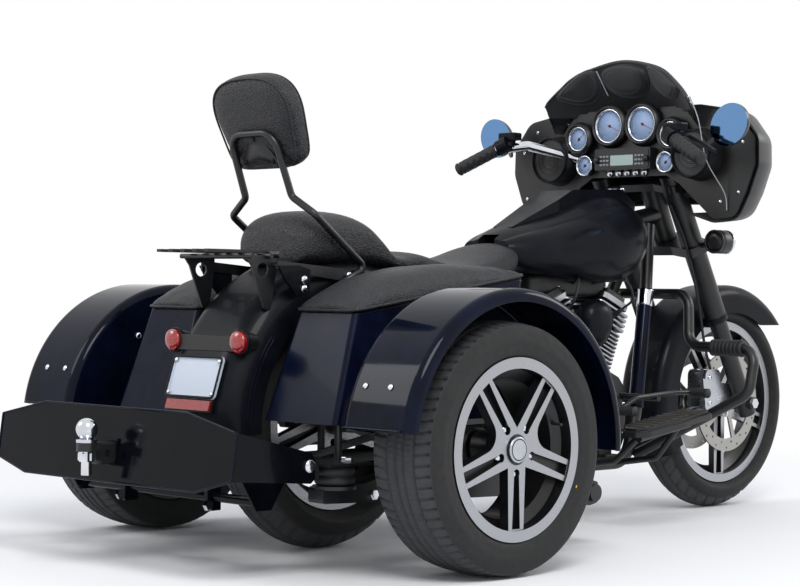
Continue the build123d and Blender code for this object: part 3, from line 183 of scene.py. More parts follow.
def spread(tree, factor, low, high, out_low, out_high):
    """A factor stretched from one span to another and clamped."""
    return add(tree, "MapRange", {0: factor}, clamp=True, **{"From_Min": low, "From_Max": high,
                                                            "To_Min": out_low, "To_Max": out_high}).outputs[0]


def matt(tree, shader, factor, low, high, out_low, out_high):
    """Sets the roughness by a factor stretched from one span to another."""
    tree.links.new(spread(tree, factor, low, high, out_low, out_high), shader.inputs["Roughness"])


def enamel(name, deep, bloom, rough, coat, peel):
    """Sprayed, lacquered steel: deep and even, with a fine orange peel and a faint polishing haze."""
    made, tree, shader, place = start(name)
    haze = noise(tree, place, 9, 4, 0.6)
    tone(tree, shader, spread(tree, haze, 0.35, 0.7, 0, 1), deep, bloom)
    matt(tree, shader, haze, 0.3, 0.75, rough, rough * 1.7)
    shader.inputs["Coat Weight"].default_value = coat
    shader.inputs["Coat Roughness"].default_value = 0.03
    shader.inputs["Specular IOR Level"].default_value = 0.09
    skin = noise(tree, place, 260, 1)
    relief(tree, shader, skin, peel)
    return made


def cast_black(name, deep, worn, rough, grain_mm, depth):
    """Powder-coated or wrinkle-painted castings: matt black with a fine closed pebble."""
    made, tree, shader, place = start(name)
    cloud = noise(tree, place, 14, 5, 0.65)
    tone(tree, shader, spread(tree, cloud, 0.4, 0.75, 0, 1), deep, worn)
    matt(tree, shader, cloud, 0.3, 0.8, rough, rough + 0.18)
    pebble = noise(tree, place, 1000 / grain_mm, 2)
    relief(tree, shader, pebble, depth)
    return made


def plated(name, light, rough, haze_low=0.0):
    """Nickel-chrome plate: a bright mirror with a breath of wiping haze."""
    made, tree, shader, place = start(name)
    shader.inputs["Metallic"].default_value = 1
    cloud = noise(tree, place, 22, 4)
    tone(tree, shader, spread(tree, cloud, 0.3, 0.75, 0, 1), light, "c4c8cf")
    matt(tree, shader, cloud, 0.35, 0.8, rough, rough + 0.07 + haze_low)
    return made


def along(tree, place, centre, axis):
    """The distance of a point from a centre, measured along one direction."""
    moved = vector_calc(tree, "SUBTRACT", place, centre)[0]
    return vector_calc(tree, "DOT_PRODUCT", moved, axis)["Value"]


def radius_of(tree, place, centre):
    """The distance of a point from a wheel's axle."""
    moved = vector_calc(tree, "SUBTRACT", place, centre)[0]
    flat = vector_calc(tree, "MULTIPLY", moved, (1, 0, 1))[0]
    return vector_calc(tree, "LENGTH", flat)["Value"]


def facing(tree, direction):
    """How squarely the surface faces a direction, from -1 to 1."""
    normal = add(tree, "NewGeometry").outputs["Normal"]
    return vector_calc(tree, "DOT_PRODUCT", normal, direction)["Value"]


def machined_wheel(name, centre, face_y, hub, lip):
    """A cast aluminium wheel: black paint turned away on the face, where the lathe left fine rings."""
    made, tree, shader, place = start(name)
    outward = 1 if face_y > centre[1] else -1
    depth = along(tree, place, (0, face_y, 0), (0, outward, 0))
    near = spread(tree, depth, -0.0042, -0.0030, 0, 1)
    flat = spread(tree, facing(tree, (0, outward, 0)), 0.80, 0.92, 0, 1)
    r = radius_of(tree, place, centre)
    inner = spread(tree, r, hub - 0.002, hub, 0, 1)
    edge = spread(tree, r, lip - 0.001, lip, 0, 1)
    bare = calc(tree, "MULTIPLY", calc(tree, "MULTIPLY", near, flat), inner)
    band = calc(tree, "MULTIPLY", edge, flat)
    bright = calc(tree, "MAXIMUM", bare, band)
    tone(tree, shader, bright, "0c0d10", "a9abb0")
    tree.links.new(bright, shader.inputs["Metallic"])
    matt(tree, shader, bright, 0, 1, 0.32, 0.24)
    wave = calc(tree, "SINE", calc(tree, "MULTIPLY", r, 2 * pi / LATHE_PITCH))
    cut = calc(tree, "MULTIPLY", wave, bright)
    relief(tree, shader, cut, 0.00004)
    return made


def fin_metal(name):
    """Engine cylinders: wrinkle black, with the fins' outer edges turned back to bare aluminium."""
    made, tree, shader, place = start(name)
    ahead = along(tree, place, tuple(CRANK), (1, 0, 0))
    ahead = calc(tree, "ABSOLUTE", ahead)
    rise = along(tree, place, tuple(CRANK), (0, 0, 1))
    lean = radians(22.5)
    square = calc(tree, "MULTIPLY", ahead, cos(lean))
    across = calc(tree, "SUBTRACT", square, calc(tree, "MULTIPLY", rise, sin(lean)))
    across = calc(tree, "ABSOLUTE", across)
    side = calc(tree, "ABSOLUTE", along(tree, place, (0, 0, 0), (0, 1, 0)))
    fore = spread(tree, across, 0.0652, 0.0656, 0, 1)
    flank = spread(tree, side, 0.0666, 0.0672, 0, 1)
    bare = calc(tree, "MAXIMUM", fore, flank)
    tone(tree, shader, bare, "101114", "b9bcc2")
    tree.links.new(bare, shader.inputs["Metallic"])
    matt(tree, shader, bare, 0, 1, 0.5, 0.28)
    pebble = noise(tree, place, 700, 2)
    relief(tree, shader, pebble, 0.0002)
    return made


def tyre_rubber(name, centre, tread_from):
    """Vulcanised rubber: moulded sidewall, with the tread scuffed grey by the road."""
    made, tree, shader, place = start(name)
    r = radius_of(tree, place, centre)
    worn = spread(tree, r, tread_from - 0.004, tread_from + 0.001, 0, 1)
    dust = noise(tree, place, 60, 6, 0.7)
    grime = calc(tree, "MULTIPLY", worn, dust)
    tone(tree, shader, spread(tree, grime, 0.0, 0.7, 0, 1), "111213", "3c3d40")
    matt(tree, shader, dust, 0.2, 0.8, 0.62, 0.85)
    fine = noise(tree, place, 900, 2)
    relief(tree, shader, fine, 0.00012)
    return made


def hide_leather(name, deep, high):
    """Embossed upholstery leather: pebbles of 2 to 4 mm whose tops carry a painted highlight in a lighter
    colour, over broad soft dimples.
    """
    made, tree, shader, place = start(name)
    pebble = cells(tree, place, 270, "F1")
    dome = spread(tree, pebble, 0.10, 0.62, 1, 0)
    fleck = noise(tree, place, 330, 3, 0.7)
    # Painted highlight: the pebble tops, where the fleck noise allows, are blended to the lighter colour.
    bright = calc(tree, "MULTIPLY", dome, spread(tree, fleck, 0.47, 0.68, 0, 1))
    quill = cells(tree, place, 62)
    both = calc(tree, "ADD", dome, spread(tree, quill, 0.1, 0.6, 0.8, 0))
    tone(tree, shader, bright, deep, high)
    matt(tree, shader, bright, 0, 1, 0.50, 0.30)
    shader.inputs["Specular IOR Level"].default_value = 0.45
    relief(tree, shader, both, 0.0011)
    return made


def grained(name, deep, high, rough, scale, depth, sheen=0.0):
    """Moulded plastic or vinyl sheet: a soft all-over grain pressed by the mould or roller."""
    made, tree, shader, place = start(name)
    pattern = cells(tree, place, scale)
    cloud = noise(tree, place, 18, 4)
    tone(tree, shader, spread(tree, cloud, 0.35, 0.7, 0, 1), deep, high)
    matt(tree, shader, cloud, 0.3, 0.8, rough, rough + 0.12)
    shader.inputs["Sheen Weight"].default_value = sheen
    relief(tree, shader, pattern, depth)
    return made


def brushed_disc(name, centre):
    """Hardened stainless steel ground flat, with ring scratches from the pads."""
    made, tree, shader, place = start(name)
    r = radius_of(tree, place, centre)
    fine = add(tree, "TexNoise", {"Vector": add(tree, "CombineXYZ", {0: r}).outputs[0]}, Scale=900,
               Detail=3).outputs[0]
    shader.inputs["Metallic"].default_value = 1
    tone(tree, shader, fine, "8d8b88", "bdbcb9")
    matt(tree, shader, fine, 0.3, 0.7, 0.24, 0.4)
    relief(tree, shader, fine, 0.00006)
    return made


def clear(name, tint, rough, index):
    """A sheet or lens of clear, tinted plastic or glass."""
    made, tree, shader, place = start(name)
    shader.inputs["Base Color"].default_value = linear(tint)
    shader.inputs["Transmission Weight"].default_value = 1
    shader.inputs["IOR"].default_value = index
    film = noise(tree, place, 30, 3)
    matt(tree, shader, film, 0.3, 0.8, rough, rough + 0.04)
    return made


def red_lens_plastic(name):
    """Moulded red acrylic over a bright bowl: deep red, with a fine pillow pattern inside."""
    made, tree, shader, place = start(name)
    pillow = cells(tree, place, 260)
    tone(tree, shader, spread(tree, pillow, 0.1, 0.6, 0, 1), "c01a1c", "7c0a0e")
    shader.inputs["Roughness"].default_value = 0.16
    shader.inputs["Coat Weight"].default_value = 1
    relief(tree, shader, pillow, 0.0002)
    return made


def mirror_and_shell(name, face_x):
    """A silvered blue glass facing back, set in a satin black shell."""
    made, tree, shader, place = start(name)
    square = spread(tree, facing(tree, (-1, 0, 0)), 0.97, 0.99, 0, 1)
    rear = spread(tree, along(tree, place, (face_x, 0, 0), (1, 0, 0)), 0.0006, 0.0012, 1, 0)
    glass = calc(tree, "MULTIPLY", square, rear)
    tone(tree, shader, glass, "111215", "6a90be")
    tree.links.new(glass, shader.inputs["Metallic"])
    matt(tree, shader, glass, 0, 1, 0.3, 0.03)
    haze = noise(tree, place, 500, 1)
    relief(tree, shader, haze, 0.00002)
    return made


def plain_light(name, code, rough=0.4, metal=0.0):
    """Small fittings: one moulded or printed colour with a slight mottle."""
    made, tree, shader, place = start(name)
    fleck = noise(tree, place, 400, 2)
    tone(tree, shader, spread(tree, fleck, 0.2, 0.8, 0, 1), code, code)
    matt(tree, shader, fleck, 0.2, 0.8, rough, rough + 0.08)
    shader.inputs["Metallic"].default_value = metal
    return made


def floor_paint():
    """A pale studio floor: painted board under soft shadow that runs into the white backdrop further out."""
    made, tree, shader, place = start("studio_floor")
    shader.inputs["Base Color"].default_value = linear("fbfbfb")
    shader.inputs["Specular IOR Level"].default_value = 0.1
    cloud = noise(tree, place, 1.5, 2)
    matt(tree, shader, cloud, 0.3, 0.7, 0.7, 0.8)
    away = vector_calc(tree, "LENGTH", place)["Value"]
    share = spread(tree, away, 1.7, 3.4, 0, 1)
    amount = calc(tree, "MULTIPLY", share, seen_plainly(tree))
    white = add(tree, "Emission", Color=(1, 1, 1, 1), Strength=1.0)
    mixed = add(tree, "MixShader", {0: amount, 1: shader.outputs[0], 2: white.outputs[0]})
    tree.nodes.remove(next(node for node in tree.nodes if node.type == "OUTPUT_MATERIAL"))
    add(tree, "OutputMaterial", {"Surface": mixed.outputs[0]})
    return made


# Which of the record's slots each solid is finished from.
slot_groups = {
    "car_tyre": ("outer_tyre_right", "outer_tyre_left", "rear_tyre", "front_tyre"),
    "machined_alloy": ("outer_rim_right", "outer_rim_left", "rear_rim", "front_rim", "brake_calipers"),
    "disc_steel": ("brake_discs",),
    "black_powdercoat": ("frame", "swingarm", "tail_lamp_bar", "luggage_rack", "sissy_bar", "kit_subframe",
        "trailing_arms", "ball_mount", "floorboards", "foot_controls", "engine_guard", "fork_legs",
        "fork_trees"),
    "black_engine": ("crankcase", "engine_covers", "cylinders", "cylinder_heads"),
    "polished_chrome": ("pushrod_tubes", "exhaust", "tow_ball", "handlebar", "hand_controls"),
    "satin_black_paint": ("horn_cover", "air_cleaner", "fuel_tank", "tank_console", "front_fender"),
    "black_leather": ("seat", "backrest_pad"),
    "gloss_black_paint": ("rear_fender", "saddlebags", "outer_fender_right", "outer_fender_left",
        "hitch_bumper", "fairing_shell"),
    "red_lens": ("tail_lenses",),
    "blank_plate": ("licence_plate",),
    "black_vinyl": ("bag_lid_right", "bag_lid_left", "windshield_pouches"),
    "black_rubber": ("air_springs", "highway_pegs", "hand_grips"),
    "black_plastic": ("fairing_dash", "turn_signals"),
    "lamp_glass": ("headlamp",),
    "tinted_screen": ("windshield",),
    "mirror_glass": ("mirrors",),
}
node_slots = {node: slot for slot, nodes in slot_groups.items() for node in nodes}

gloss = enamel("gloss_black_enamel", "050815", "0a1126", 0.06, 0.07, 0.00002)
bag_paint = enamel("bag_enamel", "060a1a", "0c142c", 0.17, 0.03, 0.00002)
bumper_paint = enamel("bumper_enamel", "040509", "090b12", 0.10, 0.08, 0.00002)
satin = enamel("satin_black_enamel", "0a0b10", "14161d", 0.30, 0.08, 0.00003)
powder = cast_black("powder_coated_steel", "0e0f11", "1a1b1e", 0.32, 2.2, 0.00008)
engine_black = cast_black("wrinkle_painted_casting", "0d0e10", "1b1c20", 0.42, 1.6, 0.00022)
fins = fin_metal("finned_casting")
chrome = plated("chromed_steel", "dfe2e8", 0.07)
alloy = plated("bright_aluminium", "b6b9c0", 0.24, 0.06)
rubber = grained("moulded_rubber", "131416", "1d1e21", 0.6, 900, 0.0001)
plastic = grained("moulded_abs", "0e0f11", "17181b", 0.36, 1100, 0.00005)
vinyl = grained("grained_vinyl", "0c0d10", "16171b", 0.4, 520, 0.00012, 0.1)
# The second colour of each leather is the painted highlight on its pebble tops.
leather = hide_leather("pebbled_leather", "121319", "4a4a50")
cover_hide = hide_leather("cover_vinyl", "14161c", "35373e")
pouch_cloth = grained("coated_nylon", "0d0e11", "18191d", 0.5, 760, 0.00014, 0.15)
piping_grey = plain_light("grey_piping", "34363b", 0.5)
lens_red = red_lens_plastic("red_acrylic")
plate_white = plain_light("painted_plate", "c9d2de", 0.35)
pad_rubber = grained("worn_tread_rubber", "2c2a28", "45423e", 0.75, 420, 0.0002)
screen = clear("smoked_acrylic", "5a5e66", 0.02, 1.49)
lamp_glass = clear("pressed_glass", "f4f7fb", 0.02, 1.5)
mirror_shell = mirror_and_shell("mirror_and_shell", 0.508)
dial_face = plain_light("printed_dial", "93aacd", 0.45)
dial_ink = plain_light("dial_ink", "14161a", 0.5)
needle_red = plain_light("needle_paint", "b3221c", 0.4)
lcd = plain_light("display_panel", "9fb2ad", 0.25)
amber = plain_light("amber_lens", "c25a10", 0.2)
cable_grey = plain_light("cable_jacket", "9b9da1", 0.45)
yellow_dot = plain_light("balance_dot", "e0b319", 0.6)
plain_button = plain_light("moulded_button", "8c8f96", 0.4)
disc_steel = brushed_disc("ground_steel", tuple(FRONT))

finish = {
    "outer_rim_right": machined_wheel("machined_wheel_right", OUTER * (1, -1, 1), -0.701, 0.036, 0.184),
    "outer_rim_left": machined_wheel("machined_wheel_left", OUTER, 0.701, 0.036, 0.184),
    "rear_rim": machined_wheel("machined_wheel_rear", REAR, -0.048, 0.034, 0.196),
    "front_rim": machined_wheel("machined_wheel_front", FRONT, -0.038, 0.034, 0.222),
    "brake_discs": disc_steel, "hand_controls": satin, "saddlebags": bag_paint, "rear_fender": satin,
    "hitch_bumper": bumper_paint, "fairing_shell": vinyl, "cylinders": fins, "cylinder_heads": fins,
}
by_slot = {
    "gloss_black_paint": gloss, "satin_black_paint": satin, "black_powdercoat": powder,
    "black_engine": engine_black, "polished_chrome": chrome, "machined_alloy": alloy,
    "disc_steel": disc_steel, "car_tyre": rubber, "black_leather": leather, "black_vinyl": vinyl,
    "black_plastic": plastic, "red_lens": lens_red, "blank_plate": plate_white, "tinted_screen": screen,
    "lamp_glass": lamp_glass, "mirror_glass": mirror_shell, "black_rubber": rubber,
}

# The slot that a piece of the scene's own stands under, by its material.
own_slot = {material.name: slot for slot, material in by_slot.items()}
for shared, group in (("red_lens", (amber, needle_red)), ("lamp_glass", (lcd, dial_face)),
                      ("black_vinyl", (pouch_cloth, piping_grey, cover_hide)),
                      ("black_rubber", (pad_rubber, cable_grey)), ("black_plastic", (plain_button,)),
                      ("car_tyre", (yellow_dot,))):
    own_slot.update({material.name: shared for material in group})


def dress(node, material):
    """Gives a solid from the source its finish in every slot."""
    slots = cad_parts[node].data.materials
    if not len(slots):
        slots.append(material)
    for at in range(len(slots)):
        slots[at] = material


# Surfaces ---------------------------------------------------------------------------------------

def unit(v):
    """Vectors scaled to length one along the last axis."""
    return v / np.maximum(np.linalg.norm(v, axis=-1, keepdims=True), 1e-12)


def put(name, places, faces, material, body="chassis", smooth=True):
    """Makes the object, turns a closed surface's faces outward, and lets it ride on its body."""
    tri = np.concatenate([faces[:, [0, 1, 2]], faces[:, [0, 2, 3]]]) if faces.shape[1] == 4 else faces
    p = places[tri]
    if np.einsum("ij,ij->", np.cross(p[:, 0], p[:, 1]), p[:, 2]) < 0:
        faces = faces[:, ::-1]
    data = bpy.data.meshes.new(name)
    faces = [[*dict.fromkeys(f)] for f in faces.tolist()]
    data.from_pydata(places.tolist(), [], [f for f in faces if len(f) > 2])
    data.polygons.foreach_set("use_smooth", np.full(len(data.polygons), smooth))
    data.materials.append(material)
    made = bpy.data.objects.new(name, data)
    bpy.context.collection.objects.link(made)
    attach(made, body)
    return made


def weave(rows, columns, round_u, round_v, first=0):
    """Quads of a grid of rows by columns, closed round in either direction where asked."""
    u = np.arange(rows if round_u else rows - 1)[:, None]
    v = np.arange(columns if round_v else columns - 1)[None, :]
    a, b = u % rows * columns, (u + 1) % rows * columns
    c, d = v % columns, (v + 1) % columns
    return first + np.stack([a + c, b + c, b + d, a + d], -1).reshape(-1, 4)


def grid(name, points, material, body="chassis", round_u=False, round_v=True, capped=True,
         smooth=True):
    """A surface given as rows of points. Open ends of a round tube are closed by a fan to their middle."""
    rows, columns = points.shape[:2]
    places = points.reshape(-1, 3)
    faces = weave(rows, columns, round_u, round_v)
    if capped and round_v and not round_u:
        ends = np.stack([points[0].mean(0), points[-1].mean(0)])
        places = np.concatenate([places, ends])
        ring = np.arange(columns)
        turn = (ring + 1) % columns
        near = np.stack([np.full(columns, rows * columns), ring, turn, turn], -1)
        last = (rows - 1) * columns
        far = np.stack([np.full(columns, rows * columns + 1), last + turn, last + ring, last + ring], -1)
        faces = np.concatenate([faces, near, far])
    return put(name, places, faces, material, body, smooth)


def around(centre, radius, offset, angle):
    """Points of a wheel-like surface: radius and angle in the XZ plane, offset along Y."""
    return np.stack([centre[0] + radius * np.cos(angle), centre[1] + offset + 0 * angle,
                     centre[2] + radius * np.sin(angle)], -1)


def path_frames(path, closed=False, lift=(0.0, 0.0, 1.0)):
    """Side and upright of each station of a path; the side stays square to `lift`."""
    ahead = np.roll(path, -1, 0) - np.roll(path, 1, 0)
    if not closed:
        ahead[0], ahead[-1] = path[1] - path[0], path[-1] - path[-2]
    ahead = unit(ahead)
    side = unit(np.cross(ahead, np.array(lift)))
    return side, np.cross(side, ahead)


def carried(name, path, profile, material, body="chassis", closed=False, lift=(0, 0, 1),
            scale=None, smooth=True):
    """A closed profile of (side, upright) carried along a path and sized by `scale` at each station."""
    side, upright = path_frames(path, closed, lift)
    profile = np.array(profile)
    size = np.ones(len(path)) if scale is None else np.array(scale)
    points = (path[:, None] + size[:, None, None] * (profile[None, :, :1] * side[:, None]
                                                      + profile[None, :, 1:] * upright[:, None]))
    return grid(name, points, material, body, round_u=closed, smooth=smooth)


def ring_of(radius, count=12):
    """A round profile."""
    a = np.linspace(0, 2 * pi, count, endpoint=False)
    return np.stack([radius * np.cos(a), radius * np.sin(a)], -1)


def smooth_path(points, count, closed=False):
    """A Catmull-Rom curve through the points: each span blends its four neighbours by cubic weights."""
    p = np.array(points, float)
    if closed:
        p = np.concatenate([p[-1:], p, p[:2]])
    else:
        p = np.concatenate([2 * p[:1] - p[1:2], p, 2 * p[-1:] - p[-2:-1]])
    spans = len(p) - 3
    t = np.linspace(0, spans, count, endpoint=not closed)
    k = np.minimum(t.astype(int), spans - 1)
    f = (t - k)[:, None]
    a, b, c, d = p[k], p[k + 1], p[k + 2], p[k + 3]
    return 0.5 * (2 * b + (c - a) * f + (2 * a - 5 * b + 4 * c - d) * f ** 2
                  + (3 * b - a - 3 * c + d) * f ** 3)


def turned_set(name, profile, seats, material, body="chassis", sides=12, smooth=True):
    """The same turned form at many seats: (radius, height) points spun about each seat's direction."""
    profile = np.array(profile)
    seats = np.array(seats, float)
    base, way = seats[:, :3], unit(seats[:, 3:6])
    pick = np.where(np.abs(way[:, 2:]) > 0.8, np.array([[1.0, 0, 0]]), np.array([[0, 0, 1.0]]))
    a_axis = unit(np.cross(pick, way))
    b_axis = np.cross(way, a_axis)
    angle = np.linspace(0, 2 * pi, sides, endpoint=False)
    ring = (np.cos(angle)[:, None] * a_axis[:, None, None]
            + np.sin(angle)[:, None] * b_axis[:, None, None])
    reach, height = profile[:, None, :1], profile[:, None, 1:]
    points = base[:, None, None] + height * way[:, None, None] + reach * ring
    rows = len(profile)
    one = weave(rows, sides, False, True)
    block = rows * sides
    faces = (one[None] + (np.arange(len(seats)) * block)[:, None, None]).reshape(-1, 4)
    return put(name, points.reshape(-1, 3), faces, material, body, smooth)


def slab(name, outline, back, front, material, body="chassis", slot=None, bevel=0.0, normal=(1, 0, 0),
         origin=(0, 0, 0), across=(0, 1, 0)):
    """A flat plate: an outline in its own plane, raised between two distances, with a rounded edge."""
    n, x = np.array(normal, float), np.array(across, float)
    y = np.cross(n, x)
    outline = np.array(outline)
    middle = outline.mean(0)
    steps = np.array([(1, back), (1, front - bevel), (1, front - bevel * 0.3), (1, front)])
    shrink = np.array([0, 0, bevel * 0.3, bevel])
    reach = np.linalg.norm(outline - middle, axis=1, keepdims=True)
    rings = middle + (outline - middle)[None] * (1 - shrink[:, None, None] / reach[None])
    points = (np.array(origin, float) + rings[..., :1] * x + rings[..., 1:] * y + steps[:, None, 1:] * n)
    return grid(name, points, material, body, smooth=False)


def squarish(values, power):
    """Cosines or sines pushed outward by a power, keeping their sign: a circle becomes a rounded box."""
    return np.sign(values) * np.abs(values) ** power


def rounded(wide, tall, corner, count=6, middle=(0, 0)):
    """A rectangle's outline with rounded corners, walked once round."""
    a = np.linspace(0, pi / 2, count)
    arcs = [(sx * (wide / 2 - corner) + corner * np.cos(a + s),
             sz * (tall / 2 - corner) + corner * np.sin(a + s)) for sx, sz,
            s in ((1, 1, 0), (-1, 1, pi / 2), (-1, -1, pi), (1, -1, 1.5 * pi))]
    return np.concatenate([np.stack(arc, -1) for arc in arcs]) + np.array(middle)


DOME = ((0.0, 0.0), (1.0, 0.0), (1.0, 0.45), (0.86, 0.75), (0.5, 0.95), (0.0, 1.0))
HEX = ((0.0, 0.0), (1.0, 0.0), (1.0, 0.8), (0.88, 1.0), (0.0, 1.0))


def scaled(profile, radius, height):
    """A unit fastener profile at a radius and a height."""
    return [(r * radius, h * height) for r, h in profile]


def domes(name, radius, height, seats, material=None, body="chassis", sides=12):
    """Dome-headed bolts at the seats, chromed unless another material is given."""
    turned_set(name, scaled(DOME, radius, height), seats, material or chrome, body, sides)


def pair(x, y, z, ahead=0, out=0, up=0):
    """The same seat on the right and on the left; `out` points away from the middle plane."""
    return [(x, s * y, z, ahead, s * out, up) for _, s in SIDES]


def bolt_circle(centre, radius, y, way, degrees):
    """Seats at the given angles of a circle about an axle, all facing one way along Y."""
    return [(centre[0] + radius * cos(a), y, centre[2] + radius * sin(a), 0, way, 0)
            for a in np.radians(degrees)]


# Tyres and wheels -------------------------------------------------------------------------------

def pulse(phase, width, edge=0.06):
    """A train of slots: one where the phase's fraction lies within `width` of zero, with sloping walls."""
    away = np.abs((phase + 0.5) % 1 - 0.5)
    return np.clip((width / 2 - away) / edge + 0.5, 0, 1)


GROOVE_DEPTH, SLOT_DEPTH, SIPE_DEPTH, RIB_DEPTH = 0.0065, 0.0045, 0.0018, 0.0009
RIB_PITCH = 3.2


def tyre_form(name, centre, body, crown, drop, half, flank, flange, seat, bead, grooves, blocks, steps,
              slant):
    """A tyre in millimetres, whose crown radius falls by drop * |y / half| ** 2.2.

    Flank is the half width over the sidewalls; flange, seat and bead say where the wall meets the rim.
    Grooves are (offset, width) pairs and sink in like the slots between blocks; blocks is their count
    round the tyre, slanted by a share of a pitch.
    """
    y = np.linspace(half, -half, 69)
    tread = np.stack([crown - drop * np.abs(y / half) ** 2.2, y], -1)
    belly = (crown - drop + flange) / 2
    wall = smooth_path([(seat + 0.4, bead), (flange + 0.6, bead), (flange + 4, bead + 4.5),
                        (belly - 10, flank - 1), (belly + 4, flank),
                        (crown - drop - 7, half + (flank - half) * 0.55), (crown - drop, half)], 25)[:-1]
    inner = np.array([(crown - 13, 0), (crown - drop - 13, half - 12), (seat + 10, bead - 22),
                      (seat + 0.4, bead - 20)])
    far = inner[1:] * (1, -1)
    profile = np.concatenate([wall, tread, (wall * (1, -1))[::-1], far[::-1], inner])
    kind = np.concatenate([np.full(len(wall), 1), np.full(len(tread), 0), np.full(len(wall), 1),
                           np.full(len(far) + len(inner), 2)])
    angle = np.linspace(0, 2 * pi, steps, endpoint=False)[:, None]
    r = profile[None, :, 0] / 1000 + 0 * angle
    off = profile[None, :, 1] / 1000 + 0 * angle
    mm = np.abs(profile[None, :, 1])
    side = np.sign(profile[None, :, 1])
    turn = angle * blocks / (2 * pi)
    depth = np.zeros_like(r)
    for at, width in grooves:
        within = np.clip((width / 2 - np.abs(mm - at)) / 1.2 + 0.5, 0, 1)
        depth = np.maximum(depth, within * GROOVE_DEPTH + 0 * turn)
    outermost = max(at for at, _ in grooves)
    shoulder = (mm > outermost + 3) * pulse(turn + side * 0.25 + slant * mm / half, 0.24)
    sipes = (mm <= outermost + 3) * pulse(2 * turn + side * slant * 2.5 * mm / half, 0.16, 0.1)
    depth = np.maximum(depth, shoulder * SLOT_DEPTH)
    depth = np.maximum(depth, sipes * SIPE_DEPTH)
    r = r - depth * (kind[None] == 0)
    rise = profile[None, :, 0]
    ribbed = (rise > flange + 6) & (rise < flange + 16) | (rise > belly + 12)
    ribs = (0.5 - 0.5 * np.cos(rise * 2 * pi / RIB_PITCH)) * ribbed
    off = off + side * (kind[None] == 1) * ribs * RIB_DEPTH
    points = np.stack([centre[0] + r * np.cos(angle), centre[1] + off, centre[2] + r * np.sin(angle)], -1)
    rubber_here = tyre_rubber(name + "_rubber", tuple(centre), (crown - drop) / 1000)
    return grid(name, points, rubber_here, body, round_u=True)


def arc_path(centre, radius, offset, start_deg, end_deg, count):
    """Stations of an arc about an axle, at one radius and one offset along Y."""
    return around(centre, radius, offset, np.radians(np.linspace(start_deg, end_deg, count)))


def make_wheels():
    """Tyres with their tread, and the outer wheels' caps, bolts, valves and balance dots."""
    for side, s in SIDES:
        centre = OUTER * (1, s, 1)
        body = f"outer_wheel_{side}"
        tyre = tyre_form(f"outer_tyre_{side}_tread", centre, body, 290, 8, 84, 94, 208, 190.5, 83.8,
                         ((12, 9), (40, 9)), 72, 576, 0.3)
        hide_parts(f"outer_tyre_{side}")
        face = s * 0.701
        seats = bolt_circle(centre, 0.0555, face - s * 0.0156, s, -90 + 72 * np.arange(5))
        domes(f"wheel_bolts_{side}", 0.0088, 0.011, seats, body=body, sides=16)
        cap = [(0, 0), (0.0295, 0), (0.0295, 0.0065), (0.0275, 0.0078), (0.0262, 0.0072), (0.0245, 0.0078),
               (0.016, 0.0086), (0, 0.0089)]
        turned_set(f"wheel_cap_{side}", cap, [(centre[0], face, centre[2], 0, s, 0)], alloy, body,
                   sides=48)
        valve = [(0, 0), (0.0045, 0), (0.0042, 0.01), (0.003, 0.012), (0.003, 0.026), (0.0038, 0.027),
                 (0.0036, 0.034), (0, 0.035)]
        place = (centre[0] + 0.160, s * 0.668, centre[2] + 0.052)
        turned_set(f"valve_{side}", valve, [(*place, -0.25, s, -0.05)], rubber, body, sides=10)
        dot = [(0, 0), (0.004, 0), (0.004, 0.0004), (0, 0.0005)]
        place = (centre[0] + 0.203, s * 0.7062, centre[2] - 0.095)
        turned_set(f"balance_dot_{side}", dot, [(*place, 0, s, 0)], yellow_dot, body)
    rear = tyre_form("rear_tyre_tread", REAR, "rear_wheel", 318, 34, 62, 89, 219, 203, 53.8,
                     ((9, 6), (30, 6)), 44, 396, 0.5)
    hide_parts("rear_tyre")
    front = tyre_form("front_tyre_tread", FRONT, "front_wheel", 320, 26, 48, 65, 244, 228.5, 41.8,
                      ((0, 5), (22, 5)), 40, 440, 0.9)
    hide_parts("front_tyre")
    for side, s in SIDES:
        seats = bolt_circle(FRONT, 0.037, s * 0.066, s, 54 + 72 * np.arange(5))
        domes(f"disc_bolts_{side}", 0.006, 0.004, seats, body="front_wheel", sides=10)


# Painted bodywork -------------------------------------------------------------------------------

LID_SLOPE = atan(90 / 576)
LID_RUN = np.array([cos(LID_SLOPE), 0, sin(LID_SLOPE)])
LID_RISE = np.array([-sin(LID_SLOPE), 0, cos(LID_SLOPE)])


def on_lid(s, along_lid, across_lid, above):
    """Points given in a bag lid's own plane, on the right (-1) or left (1) side."""
    middle = np.array([-0.554, s * 0.282, 0.635])
    return middle + along_lid * LID_RUN + across_lid * ACROSS + above * LID_RISE


def half_round(wide, tall, count=7):
    """A low ridge's profile: a flat foot sunk a little, and a half ellipse above it."""
    a = np.linspace(0, pi, count)
    return np.concatenate([[(-wide / 2, -0.0008)], np.stack([-wide / 2 * np.cos(a), tall * np.sin(a)], -1),
                           [(wide / 2, -0.0008)]])


